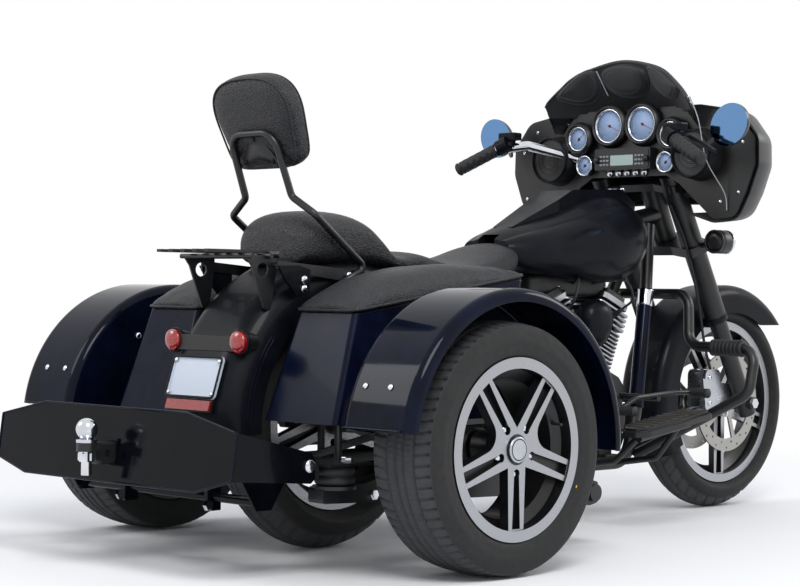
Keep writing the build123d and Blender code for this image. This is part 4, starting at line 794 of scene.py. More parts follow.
def make_bodywork():
    """Rolled hems and bolts of the outer fenders, and the pressed lines of the rear fender."""
    for side, s in SIDES:
        centre = OUTER * (1, s, 1)
        hem_radius, hem_offset, end_radius = 0.3345, 0.7140, 0.3655
        hem = arc_path(centre * (1, 0, 1), hem_radius, s * hem_offset, -2.5, 171.5, 140)
        carried(f"fender_hem_{side}", hem, ring_of(0.0022, 8), gloss, lift=(0, 1, 0))
        across = np.linspace(0.512, 0.694, 24)
        tail = radians(171.6)
        lip = np.array([(centre[0] + end_radius * cos(tail), s * y, centre[2] + end_radius * sin(tail))
                        for y in across])
        carried(f"fender_rolled_end_{side}", lip, ring_of(0.0034, 10), gloss, lift=(0, 0, 1))
        crown = radians(156.5)
        skin = 0.3638
        x, z = centre[0] + skin * cos(crown), centre[2] + skin * sin(crown)
        spots = [(x, s * y, z, cos(crown), 0, sin(crown)) for y in (0.556, 0.634)]
        domes(f"fender_crown_bolts_{side}", 0.0074, 0.0052, spots, sides=20)
        inner = bolt_circle(centre, 0.270, s * 0.505, -s, (122, 96, 52, 24))
        domes(f"fender_bolts_{side}", 0.009, 0.009, inner)
    for side, s in SIDES:
        for order, radius in enumerate((0.352, 0.342)):
            path = arc_path(REAR, radius, s * 0.130, 142, 181, 50)
            carried(f"tail_panel_line_{side}_{order}", path, half_round(0.0036, 0.0012), gloss,
                    lift=(1, 0, 0.3))


def make_bags():
    """A rolled bead round each saddlebag's mouth."""
    for side, s in SIDES:
        ring = rounded(0.5790, 0.1975, 0.016, 9)
        path = on_lid(s, ring[:, :1], ring[:, 1:], -0.0060)
        carried(f"bag_mouth_bead_{side}", path, half_round(0.0060, 0.0012), gloss, closed=True,
                lift=(0, s, 0))


# Lamps and plate --------------------------------------------------------------------------------

def make_lamps():
    """Ringed lenses over the tail lamps, the headlamp's bowl and rim, and the signals' bezels."""
    bezel = [(0.0258, -0.004), (0.0300, -0.004), (0.0306, 0.0), (0.0300, 0.003), (0.0282, 0.0045),
             (0.0262, 0.0040), (0.0258, -0.004)]
    turned_set("tail_lamp_bezels", bezel, pair(-0.962, 0.121, 0.519, -1), satin,
               sides=40)
    a = np.linspace(0, 1, 22)
    dome = 0.0125 * np.cos(a * pi / 2) ** 0.8 + 0.0004 * np.cos(a * 20 * pi)
    lens = np.stack([0.0258 * np.sin(a * pi / 2), dome], -1)[::-1]
    lens = np.concatenate([[(0.0, -0.004), (0.0258, -0.004)], lens])
    turned_set("tail_lamp_domes", lens, pair(-0.972, 0.121, 0.519, -1), lens_red, sides=48)
    bowl = np.stack([0.088 * np.sqrt(a), 0.055 * a - 0.055], -1)
    bowl = np.concatenate([bowl, [(0.089, 0.0), (0.089, -0.056), (0.0, -0.062)]])
    turned_set("headlamp_bowl", bowl, [(0.838, 0, 1.010, 1, 0, 0)], chrome, "steering", sides=64)
    rim = [(0.085, -0.014), (0.0945, -0.014), (0.096, -0.006), (0.0935, 0.004), (0.0885, 0.007),
           (0.085, 0.003), (0.085, -0.014)]
    turned_set("headlamp_rim", rim, [(0.846, 0, 1.010, 1, 0, 0)], chrome, "steering", sides=64)
    band = [(0.029, -0.006), (0.0335, -0.006), (0.0345, 0.0), (0.0325, 0.003), (0.029, 0.0015),
            (0.029, -0.006)]
    for name, x, way, material in (("front", 0.750, 1, chrome), ("rear", 0.694, -1, plastic)):
        seats = pair(x, 0.250, 0.796, way)
        turned_set(f"signal_ring_{name}", band, seats, material, "steering", sides=40)
    cup = [(0.0, -0.004), (0.0285, -0.004), (0.0285, 0.002), (0.022, 0.0045), (0.011, 0.0055), (0.0, 0.0058)]
    turned_set("signal_lenses", cup, pair(0.7515, 0.250, 0.796, 1), amber, "steering", sides=40)


def make_plate():
    """A blank plate's rounded black frame and its four screws."""
    lean = atan(36 / 113)
    back = np.array([-cos(lean), 0, sin(lean)])
    right = np.array([0, -1.0, 0])
    up = np.cross(back, right)
    middle = np.array([-1.0013, 0, 0.434])
    ring = rounded(0.177, 0.099, 0.009, 8)
    path = middle + ring[:, :1] * right + ring[:, 1:] * up + 0.0042 * back
    carried("plate_frame", path, half_round(0.0070, 0.0016), satin, closed=True,
            lift=tuple(back))
    corners = [(x, z) for x in (-0.080, 0.080) for z in (-0.040, 0.040)]
    seats = [(*(middle + x * right + z * up + 0.0036 * back), *back) for x, z in corners]
    domes("plate_screws", 0.0052, 0.0028, seats)


# Rider's gear -----------------------------------------------------------------------------------

def make_grip(side, s):
    """A grip with rows of raised pads, and the cap that closes the bar."""
    a, b = np.array([0.404, s * 0.330, 1.066]), np.array([0.3638, s * 0.4464, 1.0083])
    t = np.linspace(0, 1, 61)[:, None]
    turn = np.linspace(0, 2 * pi, 36, endpoint=False)[None]
    pads = pulse(t * 6 + 0.25 * np.sign(np.sin(4 * turn)), 0.72, 0.3) * np.abs(np.cos(2 * turn)) ** 0.35
    girth = 0.0166 + 0.0030 * pads * ((t > 0.05) & (t < 0.93)) + 0.0030 * ((t < 0.04) | (t > 0.95))
    lead = unit(b - a)
    side_on = unit(np.cross(lead, [0, 0, 1.0]))
    spoke = np.cos(turn)[..., None] * side_on + np.sin(turn)[..., None] * np.cross(side_on, lead)
    skin = (a + t * (b - a))[:, None] + girth[..., None] * spoke
    grip = grid(f"grip_{side}_padded", skin, rubber, "steering")
    if s < 0:
        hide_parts("hand_grips")
    domes(f"bar_end_{side}", 0.017, 0.006, [(*b, *lead)], rubber, "steering", sides=24)


def ribbed_sleeve(name, x, z, inner, long, radius, mesh, rings, share, depth, plain):
    """A rubber sleeve on a peg along Y, cut by `rings` shallow rings between its plain ends.

    Mesh gives the stations along it and round it; share is a ring's part of the pitch.
    """
    t = np.linspace(0, 1, mesh[0])
    path = np.array([(x, y, z) for y in inner + long * t])
    rib = 1.0 - depth * pulse(t * rings, share) * ((t > plain) & (t < 1 - plain))
    return carried(name, path, ring_of(radius, mesh[1]), rubber, scale=rib)


def make_board(side, s):
    """A floorboard's nine rubber ribs and the rubber edge round it."""
    slope = atan(44 / 297)
    run, rise = np.array([cos(slope), 0, sin(slope)]), np.array([-sin(slope), 0, cos(slope)])
    middle = np.array([0.350, s * 0.342, 0.297]) + 0.009 * rise
    for k in range(9):
        at = middle + (-0.112 + 0.0285 * k) * run
        reach = 0.040 if k < 1 else 0.044
        bar = at + np.linspace(-reach, reach, 9)[:, None] * ACROSS
        carried(f"board_rib_{side}_{k}", bar, half_round(0.017, 0.0030, 7), pad_rubber, lift=tuple(rise))
    rim = [(-0.142, -0.020), (-0.116, -0.044), (0.020, -0.054), (0.142, -0.050), (0.142, 0.044),
           (-0.106, 0.044), (-0.142, 0.018)]
    loop = smooth_path([(x, -s * y) for x, y in rim], 90, closed=True)
    path = middle - 0.0085 * rise + loop[:, :1] * run + loop[:, 1:] * ACROSS
    carried(f"board_edge_{side}", path, ring_of(0.0022, 8), rubber, closed=True, lift=tuple(rise))


def make_gear():
    """Grips, highway pegs, floorboards and, on the right side, the two pedal rubbers."""
    for side, s in SIDES:
        make_grip(side, s)
        peg = ribbed_sleeve(f"peg_rubber_{side}", 0.629, 0.495, s * 0.300, s * 0.104, 0.0235, (57, 32),
                            8, 0.3, 0.10, 0.08)
        if s < 0:
            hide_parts("highway_pegs")
        make_board(side, s)
        if s < 0:
            for order, (x, z) in enumerate(((0.221, 0.330), (0.543, 0.370))):
                ribbed_sleeve(f"shift_rubber_{order}", x, z, -0.296, -0.052, 0.0132, (41, 24),
                              6, 0.35, 0.08, 0.06)


# Cockpit ----------------------------------------------------------------------------------------

dial_table = (
    # y, z, radius, face x
    (0.061, 1.135, 0.050, 0.596), (-0.061, 1.135, 0.050, 0.596), (0.171, 1.101, 0.036, 0.588),
    (-0.171, 1.101, 0.036, 0.588), (0.150, 1.022, 0.030, 0.592), (-0.150, 1.022, 0.030, 0.592),
)


def make_dial(k, y, z, r, x):
    """A dial: bezel, face, cowl on all but the smallest, ticks, needle and hub, all facing the rider."""
    large = r > 0.040
    seat = [(x, y, z, -1, 0, 0)]
    bezel = [(r - 0.0056, -0.0010), (r - 0.0050, 0.0022), (r - 0.0030, 0.0046), (r - 0.0010, 0.0050),
             (r + 0.0006, 0.0036), (r + 0.0010, -0.0040), (r - 0.0056, -0.0040), (r - 0.0056, -0.0010)]
    turned_set(f"dial_bezel_{k}", bezel, seat, chrome, "steering", sides=56)
    face = [(0, 0), (r - 0.0054, 0), (r - 0.0054, 0.0006), (0, 0.0006)]
    turned_set(f"dial_face_{k}", face, [(x + 0.0036, y, z, -1, 0, 0)], dial_face, "steering", sides=48)
    cowl = [(r + 0.0008, -0.006), (r + 0.0014, 0.006), (r + 0.0040, 0.011), (r + 0.0075, 0.0095),
            (r + 0.0125, 0.0), (r + 0.0150, -0.006), (r + 0.0008, -0.006)]
    if r > 0.031:
        turned_set(f"dial_cowl_{k}", cowl, seat, plastic, "steering", sides=56)
    marks = 25 if large else 13
    angles = np.radians(np.linspace(-45, 225, marks))
    long = np.where(np.arange(marks) % 4 == 0, 0.0062, 0.0034)
    make_ticks(f"dial_ticks_{k}", x + 0.0028, y, z, r - 0.0085, angles, long, 0.0009 if large else 0.0007)
    lean = radians(205 if large else 140)
    hub, way = np.array([x + 0.0022, y, z]), np.array([0, cos(lean), sin(lean)])
    tip, tail = hub + (r - 0.012) * way, hub - 0.008 * way
    stations = tail + np.linspace(0, 1, 9)[:, None] * (tip - tail)
    carried(f"dial_needle_{k}", stations, half_round(0.0022, 0.0008, 5), needle_red, "steering",
            lift=(-1, 0, 0), scale=np.linspace(1.1, 0.35, 9))
    domes(f"dial_hub_{k}", 0.0042, 0.003, [(x + 0.0028, y, z, -1, 0, 0)], plastic, "steering", sides=20)


def make_speaker(side, s):
    """A speaker's ringed grille and its rim."""
    y, z = s * 0.262, 1.040
    u = np.linspace(0, 1, 30)
    bowl = np.stack([0.0615 * u, 0.0022 * np.cos(u * 22 * pi) * (u > 0.3) + 0.004 * (1 - u ** 2)], -1)
    bowl = np.concatenate([[(0.0, -0.003)], [(0.0615, -0.003)], bowl[::-1]])
    turned_set(f"speaker_grille_{side}", bowl, [(0.566, y, z, -1, 0, 0)], plastic, "steering", sides=64)
    rim = [(0.0620, -0.003), (0.0625, 0.0012), (0.0650, 0.0030), (0.0680, 0.0016), (0.0686, -0.004),
           (0.0620, -0.004), (0.0620, -0.003)]
    turned_set(f"speaker_rim_{side}", rim, [(0.560, y, z, -1, 0, 0)], satin, "steering",
               sides=64)


def make_radio():
    """The radio's face, blank display, eighteen buttons and two knobs."""
    radio = {"body": "steering", "normal": (-1, 0, 0), "origin": (0.582, 0, 1.036), "across": (0, -1, 0)}
    slab("radio_face", rounded(0.196, 0.054, 0.004, 4), -0.004, 0.002, plastic, bevel=0.001, **radio)
    display = rounded(0.084, 0.030, 0.002, 3, (0, -0.004))
    slab("radio_display", display, -0.001, 0.0032, lcd, bevel=0.0004, **radio)
    keys = [(s * y, z) for _, s in SIDES for y in (0.053, 0.065, 0.077) for z in (0.008, -0.004, -0.016)]
    for k, middle in enumerate(keys):
        key = rounded(0.0080, 0.0055, 0.0016, 3, middle)
        slab(f"radio_button_{k}", key, -0.001, 0.0048, plain_button, bevel=0.0008, **radio)
    knob = [(0, 0), (0.0095, 0), (0.0092, 0.010), (0.0080, 0.0122), (0.0, 0.0126)]
    turned_set("radio_knobs", knob, pair(0.581, 0.091, 1.034, -1), plastic, "steering", sides=28)


def make_cockpit():
    """The dash: dials, speakers, the radio, the screws round its edge and the row of switches."""
    for k, dial in enumerate(dial_table):
        make_dial(k, *dial)
    for side, s in SIDES:
        make_speaker(side, s)
    make_radio()
    screws = ((0.352, 1.130), (0.405, 1.070), (0.392, 0.930), (0.330, 0.905), (0.232, 1.150))
    seats = [(0.6118, s * y, z, -1, 0, 0) for _, s in SIDES for y, z in screws]
    domes("dash_screws", 0.0052, 0.0026, seats, body="steering")
    cap = [(0, 0), (0.011, 0), (0.011, 0.006), (0.009, 0.009), (0.0, 0.010)]
    seats = [(0.612, y, 0.998, -1, 0, 0) for y in (-0.062, -0.030, 0.002, 0.034, 0.066)]
    turned_set("dash_switches", cap, seats, chrome, "steering", sides=20)


def make_ticks(name, x, y, z, reach, angles, lengths, width):
    """Bars on a dial, all at once: thin boxes from `reach` inward by their lengths, along their angles."""
    out = np.stack([0 * angles, np.cos(angles), np.sin(angles)], -1)
    side = np.stack([0 * angles, -np.sin(angles), np.cos(angles)], -1)
    front = np.array([-1.0, 0, 0])
    mid = np.array([x, y, z])
    ends = np.array([(0, -1, 0), (1, -1, 0), (1, 1, 0), (0, 1, 0), (0, -1, 1), (1, -1, 1), (1, 1, 1),
                     (0, 1, 1)], float)
    points = (mid + out[:, None] * (reach - ends[None, :, :1] * lengths[:, None, None])
              + side[:, None] * ends[None, :, 1:2] * width / 2 + front * ends[None, :, 2:] * 0.0005)
    box = np.array([(0, 3, 2, 1), (4, 5, 6, 7), (0, 1, 5, 4), (1, 2, 6, 5), (2, 3, 7, 6), (3, 0, 4, 7)])
    faces = (box[None] + 8 * np.arange(len(angles))[:, None, None]).reshape(-1, 4)
    put(name, points.reshape(-1, 3), faces, dial_ink, "steering", False)


# Soft goods -------------------------------------------------------------------------------------

def stuff(made, pressure, cap, frames=14):
    """Swells a closed piece by cloth pressure from its slightly small start, by `cap` at most."""
    rest = np.empty(3 * len(made.data.vertices))
    made.data.vertices.foreach_get("co", rest)
    cloth = made.modifiers.new("fill", "CLOTH")
    cloth.settings.use_pressure = True
    cloth.settings.uniform_pressure_force = pressure
    cloth.settings.effector_weights.gravity = 0
    cloth.settings.quality = 5
    cloth.settings.tension_stiffness = cloth.settings.compression_stiffness = 12
    cloth.settings.bending_stiffness = 1.5
    cloth.point_cache.frame_end = frames
    scene = bpy.context.scene
    for at in range(1, frames + 1):
        scene.frame_set(at)
    final = made.evaluated_get(bpy.context.evaluated_depsgraph_get()).to_mesh()
    moved = np.empty(3 * len(final.vertices))
    final.vertices.foreach_get("co", moved)
    made.modifiers.remove(cloth)
    scene.frame_set(1)
    step = (moved - rest).reshape(-1, 3)
    size = np.linalg.norm(step, axis=1, keepdims=True)
    step *= np.minimum(1, cap / np.maximum(size, 1e-9))
    made.data.vertices.foreach_set("co", (rest.reshape(-1, 3) + step).ravel())
    made.data.update()


def soften(made, levels=1):
    """Finishes a padded piece with a subdivision surface."""
    sub = made.modifiers.new("round", "SUBSURF")
    sub.levels = sub.render_levels = levels


seat_stations = (
    # x, half width, low z, crown z at the middle, squareness
    (-0.773, 0.092, 0.716, 0.758, 3.0),
    (-0.765, 0.118, 0.704, 0.794, 3.4),
    (-0.738, 0.132, 0.700, 0.826, 3.6),
    (-0.690, 0.137, 0.700, 0.838, 3.6),
    (-0.610, 0.138, 0.700, 0.836, 3.6),
    (-0.555, 0.139, 0.700, 0.820, 3.6),
    (-0.515, 0.141, 0.698, 0.786, 3.6),
    (-0.480, 0.148, 0.694, 0.744, 3.6),
    (-0.445, 0.157, 0.690, 0.738, 3.8),
    (-0.400, 0.164, 0.680, 0.745, 3.8),
    (-0.340, 0.165, 0.668, 0.732, 3.8),
    (-0.260, 0.164, 0.660, 0.716, 3.8),
    (-0.180, 0.158, 0.660, 0.722, 3.6),
    (-0.100, 0.142, 0.664, 0.744, 3.2),
    (-0.040, 0.129, 0.672, 0.766, 2.9),
    (0.004, 0.116, 0.684, 0.776, 2.6),
    (0.026, 0.094, 0.700, 0.772, 2.4),
    (0.035, 0.060, 0.716, 0.762, 2.2),
)


def make_seat():
    """The two-up saddle: a rounded-box section carried from tail to nose, its top dished for the rider."""
    table = smooth_path(seat_stations, 130)
    x, wide, low, high, power = table.T
    a = np.linspace(0, 2 * pi, 72, endpoint=False)[None]
    c, s = np.cos(a), np.sin(a)
    p = 2 / power[:, None]
    y = squarish(c, p) * wide[:, None]
    mid, tall = (low + high) / 2, (high - low) / 2
    z = mid[:, None] + squarish(s, p) * tall[:, None]
    lift = np.clip(z - mid[:, None], 0, None) / tall[:, None]
    z = z - 0.010 * lift * (y / wide[:, None]) ** 2
    dish = np.exp(-((x[:, None] + 0.27) / 0.14) ** 2)
    z = z + 0.010 * lift * dish * (y / wide[:, None]) ** 2
    points = np.stack([x[:, None] + 0 * y, y, z], -1)
    saddle = grid("saddle", points, leather)
    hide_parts("seat")


def pad_frame():
    """The backrest pad's own axes: across, up along the bar, and forward off it."""
    lean = atan(58 / 148)
    ahead = np.array([cos(lean), 0, sin(lean)])
    up = np.array([-sin(lean), 0, cos(lean)])
    origin = np.array([-0.835, 0, 1.016]) + 0.0093 * ahead + 0.014 * up
    return origin, ACROSS, up, ahead


def pad_outline(count):
    """The pad's rim: a superellipse of power 2.7 above and 6 below that narrows downward."""
    a = np.linspace(0, 2 * pi, count, endpoint=False)
    c, s = np.cos(a), np.sin(a)
    power = np.where(s >= 0, 2.7, 6.0)
    y = squarish(c, 2 / power)
    z = np.where(s >= 0, 0.126, 0.108) * squarish(s, 2 / power)
    down = (0.126 - z) / 0.234
    return y * (1.04 - 0.24 * down) * 0.150, z


def make_backrest():
    """The backrest pad: a crowned cushion on a shield-shaped rim, with two welts and a back plate."""
    origin, across, up, ahead = pad_frame()
    t = np.linspace(0, 1, 26)
    depth = 0.0012 + 0.0760 * t
    swell = np.sqrt(np.clip(1 - np.abs((t - 0.42) / 0.62) ** 3.2, 0.05, 1))
    y, z = pad_outline(120)
    rim = y[:, None] * across + z[:, None] * up
    shell = origin + swell[:, None, None] * rim + depth[:, None, None] * ahead
    front = np.stack([origin + swell[-1] * share * rim + (0.0756 + 0.008 * (1 - share ** 2)) * ahead
                      for share in (0.78, 0.55, 0.3, 0.1)])
    back = np.stack([origin + swell[0] * share * rim + 0.0008 * ahead for share in (0.1, 0.4, 0.8)])
    points = np.concatenate([back, shell, front])
    pad = grid("backrest_cushion", points, leather)
    stuff(pad, 3.0, 0.006)
    soften(pad)
    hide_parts("backrest_pad")
    for order, at in enumerate((0.12, 0.74)):
        size = float(np.interp(at, t, swell))
        loop = origin + (size * 1.012 + 0.004) * rim + (0.0012 + 0.076 * at) * ahead
        carried(f"backrest_welt_{order}", loop, ring_of(0.0024, 8), leather, closed=True, lift=tuple(ahead))
    edge = smooth_path([(-0.060, -0.092), (0.0, -0.080), (0.060, -0.092), (0.058, -0.074), (0.034, -0.040),
                        (0.020, -0.018), (0.0, -0.013), (-0.020, -0.018), (-0.034, -0.040),
                        (-0.058, -0.074)], 90, closed=True)
    middle = edge.mean(0)
    plate = []
    for share, off in ((0.05, 0.0004), (0.98, 0.0004), (1.0, -0.0010), (1.0, -0.0030), (0.97, -0.0044),
                       (0.05, -0.0044)):
        flat = middle + share * (edge - middle)
        plate.append(origin + flat[:, :1] * across + flat[:, 1:] * up + off * ahead)
    grid("backrest_plate", np.stack(plate), powder)
    bolts = ((-0.050, -0.082), (0.050, -0.082), (0.0, -0.026))
    spots = [(*(origin + u * across + v * up - 0.0040 * ahead), *(-ahead)) for u, v in bolts]
    domes("backrest_plate_bolts", 0.0058, 0.0045, spots, satin, sides=16)


def bent(points, radii, step=0.004):
    """A tube's centre line: straight runs joined by arcs of the given radii."""
    points = np.array(points, float)
    line = [points[:1]]
    for before, corner, after, radius in zip(points, points[1:], points[2:], radii):
        back, on = unit(before - corner), unit(after - corner)
        half = np.arccos(np.clip(back @ on, -1, 1)) / 2
        reach = radius / np.tan(half)
        centre = corner + unit(back + on) * radius / np.sin(half)
        first, last = corner + back * reach - centre, corner + on * reach - centre
        span = np.arccos(np.clip(unit(first) @ unit(last), -1, 1))
        w = np.linspace(0, 1, max(4, int(radius * span / step) + 2))[:, None]
        line.append(centre + (np.sin((1 - w) * span) * first + np.sin(w * span) * last) / np.sin(span))
    line.append(points[-1:])
    return np.concatenate(line)


def make_sissy_bar():
    """The sissy bar: one tube bent up, in and over into a round-topped loop behind the pad."""
    half = [(-0.690, -0.150, 0.650), (-0.590, -0.150, 0.700), (-0.763, -0.152, 0.826),
            (-0.777, -0.085, 0.868), (-0.836, -0.080, 1.0195)]
    points = half + [(x, -y, z) for x, y, z in half[::-1]]
    path = bent(points, (0.014, 0.018, 0.018, 0.044, 0.044, 0.018, 0.018, 0.014))
    tube = carried("sissy_tube", path, ring_of(0.009, 20), powder, lift=(1, 0, 0.3))
    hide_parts("sissy_bar")


SCREEN_RADIUS = 0.420
SCREEN_LEAN = atan(110 / 160)
SCREEN_FOOT = np.array([0.690, 0, 1.160])


def on_screen(arc, height, behind):
    """Points on the leaning, rounded windshield, by arc across it, height, and gap from its front face."""
    up = np.array([-sin(SCREEN_LEAN), 0, cos(SCREEN_LEAN)])
    back = np.array([-cos(SCREEN_LEAN), 0, -sin(SCREEN_LEAN)])
    radius = SCREEN_RADIUS - behind
    inward = SCREEN_RADIUS - radius * np.cos(arc / SCREEN_RADIUS)
    side = radius * np.sin(arc / SCREEN_RADIUS)
    lift = (height - SCREEN_FOOT[2] + inward * sin(SCREEN_LEAN)) / cos(SCREEN_LEAN)
    return SCREEN_FOOT + lift[..., None] * up + inward[..., None] * back + side[..., None] * ACROSS


# Gaps from the windshield's front face to the lining's two faces and to the pouches' filling.
LINING_FRONT, LINING_REAR, FILLING = 0.0052, 0.0098, 0.0102
POUCH_SAG = 0.35

half_pouch = ((0.0, 1.309), (0.046, 1.304), (0.078, 1.291), (0.087, 1.270), (0.073, 1.241), (0.040, 1.223),
              (0.0, 1.217))
side_pouch = ((0.100, 1.291), (0.116, 1.300), (0.156, 1.287), (0.204, 1.259), (0.246, 1.226), (0.228, 1.212),
              (0.186, 1.204), (0.144, 1.210), (0.112, 1.234), (0.099, 1.262))
pouch_table = (
    # name, depth of the filling, outline as (arc across the screen, height)
    ("middle", 0.022, half_pouch + tuple((-y, z) for y, z in half_pouch[-2:0:-1])),
    ("left", 0.018, side_pouch),
    ("right", 0.018, tuple((-y, z) for y, z in side_pouch)),
)
half_brow = ((0.106, 1.301), (0.178, 1.277), (0.226, 1.247), (0.272, 1.214), (0.290, 1.196))
brow_line = tuple((-y, z) for y, z in half_brow[::-1]) + ((0.0, 1.316),) + half_brow


def make_pouches():
    """The windshield's soft lining and three filled pouches, which bulge by (1 - share ** 3) ** 0.6."""
    brow = smooth_path(brow_line, 90)
    w = np.linspace(0, 1, 26)
    arc = brow[:, :1] + 0 * w[None]
    height = 1.166 + w[None] * (brow[:, 1:] - 1.166)
    rear, front = on_screen(arc, height, LINING_REAR), on_screen(arc, height, LINING_FRONT)
    lining = grid("pouch_lining", np.concatenate([rear, front[:, ::-1]], 1), pouch_cloth, "steering")
    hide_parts("windshield_pouches")
    hem = on_screen(brow[:, 0], brow[:, 1], LINING_REAR)
    carried("pouch_lining_hem", hem, ring_of(0.0030, 10), pouch_cloth, "steering", lift=(0, 0, 1))
    for name, depth, outline in pouch_table:
        edge = smooth_path(outline, 84, closed=True)
        middle = edge.mean(0)
        share = np.linspace(0.06, 1, 20)
        flat = middle + share[:, None, None] * (edge - middle)
        sag = 1 + POUCH_SAG * (middle[1] - flat[..., 1]) / np.ptp(edge[:, 1])
        puff = depth * (1 - share[:, None] ** 3) ** 0.6 * sag
        front = on_screen(flat[..., 0], flat[..., 1], FILLING + puff)
        rear = on_screen(flat[::-1, :, 0], flat[::-1, :, 1], 0.0094)
        pouch = grid(f"pouch_{name}", np.concatenate([front, rear]), pouch_cloth, "steering")
        stuff(pouch, 2.0, 0.003)
        soften(pouch)
        rim = on_screen(edge[:, 0], edge[:, 1], 0.0112)
        carried(f"pouch_piping_{name}", rim, ring_of(0.0019, 8), piping_grey, "steering", closed=True,
                lift=(0, 0, 1))
        fold = middle + 0.80 * (edge - middle)
        sag = 1 + POUCH_SAG * (middle[1] - fold[:, 1]) / np.ptp(edge[:, 1])
        gap = FILLING + depth * (1 - 0.80 ** 3) ** 0.6 * sag + 0.0006
        seam = on_screen(fold[:, 0], fold[:, 1], gap)
        carried(f"pouch_seam_{name}", seam, ring_of(0.0011, 6), piping_grey, "steering", closed=True,
                lift=(0, 0, 1))
    t = np.linspace(0, 1, 24)
    across, tall = 0.094 - 0.006 * t, 1.296 - 0.070 * t
    strap = on_screen(across, tall, 0.0120)
    carried("pouch_strap", strap, half_round(0.0046, 0.0016), cable_grey, "steering",
            lift=(-1, 0, 0))


lid_crown = ((-0.294, 0.010), (-0.290, 0.020), (-0.268, 0.036), (-0.200, 0.060), (-0.120, 0.071),
             (0.0, 0.068), (0.120, 0.056), (0.220, 0.035), (0.286, 0.019), (0.294, 0.010))


def make_lid_covers():
    """Soft lid covers: width by cos ** (2 / 2.6), height by sin ** 0.92 under the crown, hem puckered."""
    crown = smooth_path(lid_crown, 110)
    x, high = crown[:, :1], crown[:, 1:]
    half_length, half_width, radius = 0.294, 0.1035, 0.026
    corner = np.clip(radius - (half_length - np.abs(x)), 0, radius)
    wide = half_width - (radius - np.sqrt(np.clip(radius ** 2 - corner ** 2, 0, None)))
    a = np.linspace(0, pi, 49)[None]
    c, s = np.cos(a), np.sin(a)
    for side, hand in SIDES:
        y = squarish(c, 2 / 2.6) * wide
        z = 0.0015 + np.abs(s) ** 0.92 * (high - 0.0015)
        hem = np.exp(-((np.abs(c) - 1) / 0.16) ** 2)
        ends = np.exp(-((x - 0.235) / 0.060) ** 2) + 0.5 * np.exp(-((x + 0.262) / 0.030) ** 2)
        pucker = 0.0014 * hem * np.sin(x * 150 + 2.2 * np.sin(x * 31) + 2 * hand * c)
        fan = 9 * c * np.exp(-((x - 0.20) / 0.1) ** 2)
        drag = 0.0022 * ends * np.sin(x * 120 + fan + 1.4 * np.sin(y * 60)) * s
        slack = 0.0011 * np.sin(x * 34 + 8 * y * hand) * np.sin(y * 47 + 3) * s
        z = z + pucker * s + drag + slack
        under = np.stack([x + 0 * a[:, 1:-1], -y[:, 1:-1] * 0.985, 0 * z[:, 1:-1] + 0.0012], -1)
        loop = np.concatenate([np.stack([x + 0 * a, y, z], -1), under], 1)
        points = on_lid(hand, loop[..., :1], loop[..., 1:2], loop[..., 2:])
        cover = grid(f"lid_cover_{side}", points, cover_hide, f"bag_lid_{side}_body")
        stuff(cover, 1.5, 0.002)
        soften(cover)
        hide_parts(f"bag_lid_{side}")
        ring = rounded(0.5900, 0.2085, 0.026, 9)
        path = on_lid(hand, ring[:, :1], ring[:, 1:], 0.0075)
        carried(f"lid_binding_{side}", path, ring_of(0.0034, 10), cover_hide, f"bag_lid_{side}_body",
                closed=True, lift=tuple(LID_RISE))


# Kit and engine ---------------------------------------------------------------------------------

def make_kit():
    """Bellows, fasteners and tow gear of the outrigger kit."""
    t = np.linspace(0, 1, 31)
    wall = 0.0385 + 0.0075 * np.abs(np.sin(t * 2 * pi)) ** 0.7
    bellows = np.concatenate([[(0, 0.0)], np.stack([wall, 0.001 + 0.044 * t], -1), [(0, 0.046)]])
    spring = turned_set("air_bellows", bellows, pair(-0.936, 0.418, 0.206, up=1), rubber, sides=64)
    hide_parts("air_springs")
    bolts = pair(-0.900, 0.420, 0.258, up=1) + pair(-0.833, 0.435, 0.180, out=1)
    bolts += pair(-0.055, 0.435, 0.138, out=1) + pair(-1.091, 0.160, 0.150, out=1)
    domes("wing_bolts", 0.0150, 0.0085, pair(-1.034, 0.4415, 0.255, out=1), sides=24)
    turned_set("kit_bolts", scaled(HEX, 0.013, 0.010), bolts, chrome, sides=6, smooth=False)
    lean = atan(14 / 106)
    back = np.array([-cos(lean), 0, sin(lean)])
    down = np.array([-sin(lean), 0, -cos(lean)])
    origin = np.array([-1.246, 0, 0.290])
    rim = [(-0.268, -0.082), (0.268, -0.082), (0.441, -0.046), (0.441, 0.058), (0.322, 0.090),
           (-0.322, 0.090), (-0.441, 0.058), (-0.441, -0.046)]
    loop = np.array(rim + rim[:1])
    t = np.linspace(0, 8, 161)[:-1]
    k = t.astype(int)
    line = loop[k] + (t - k)[:, None] * (loop[k + 1] - loop[k])
    path = origin + 0.9955 * line[:, :1] * ACROSS + 0.99 * line[:, 1:] * down + 0.0002 * back
    carried("bumper_edge", path, ring_of(0.0028, 8), gloss, closed=True, lift=tuple(back))
    nut = [(-1.312, 0, 0.2525, 0, 0, 1)]
    turned_set("hitch_nut", scaled(HEX, 0.0195, 0.020), nut, chrome, sides=6, smooth=False)


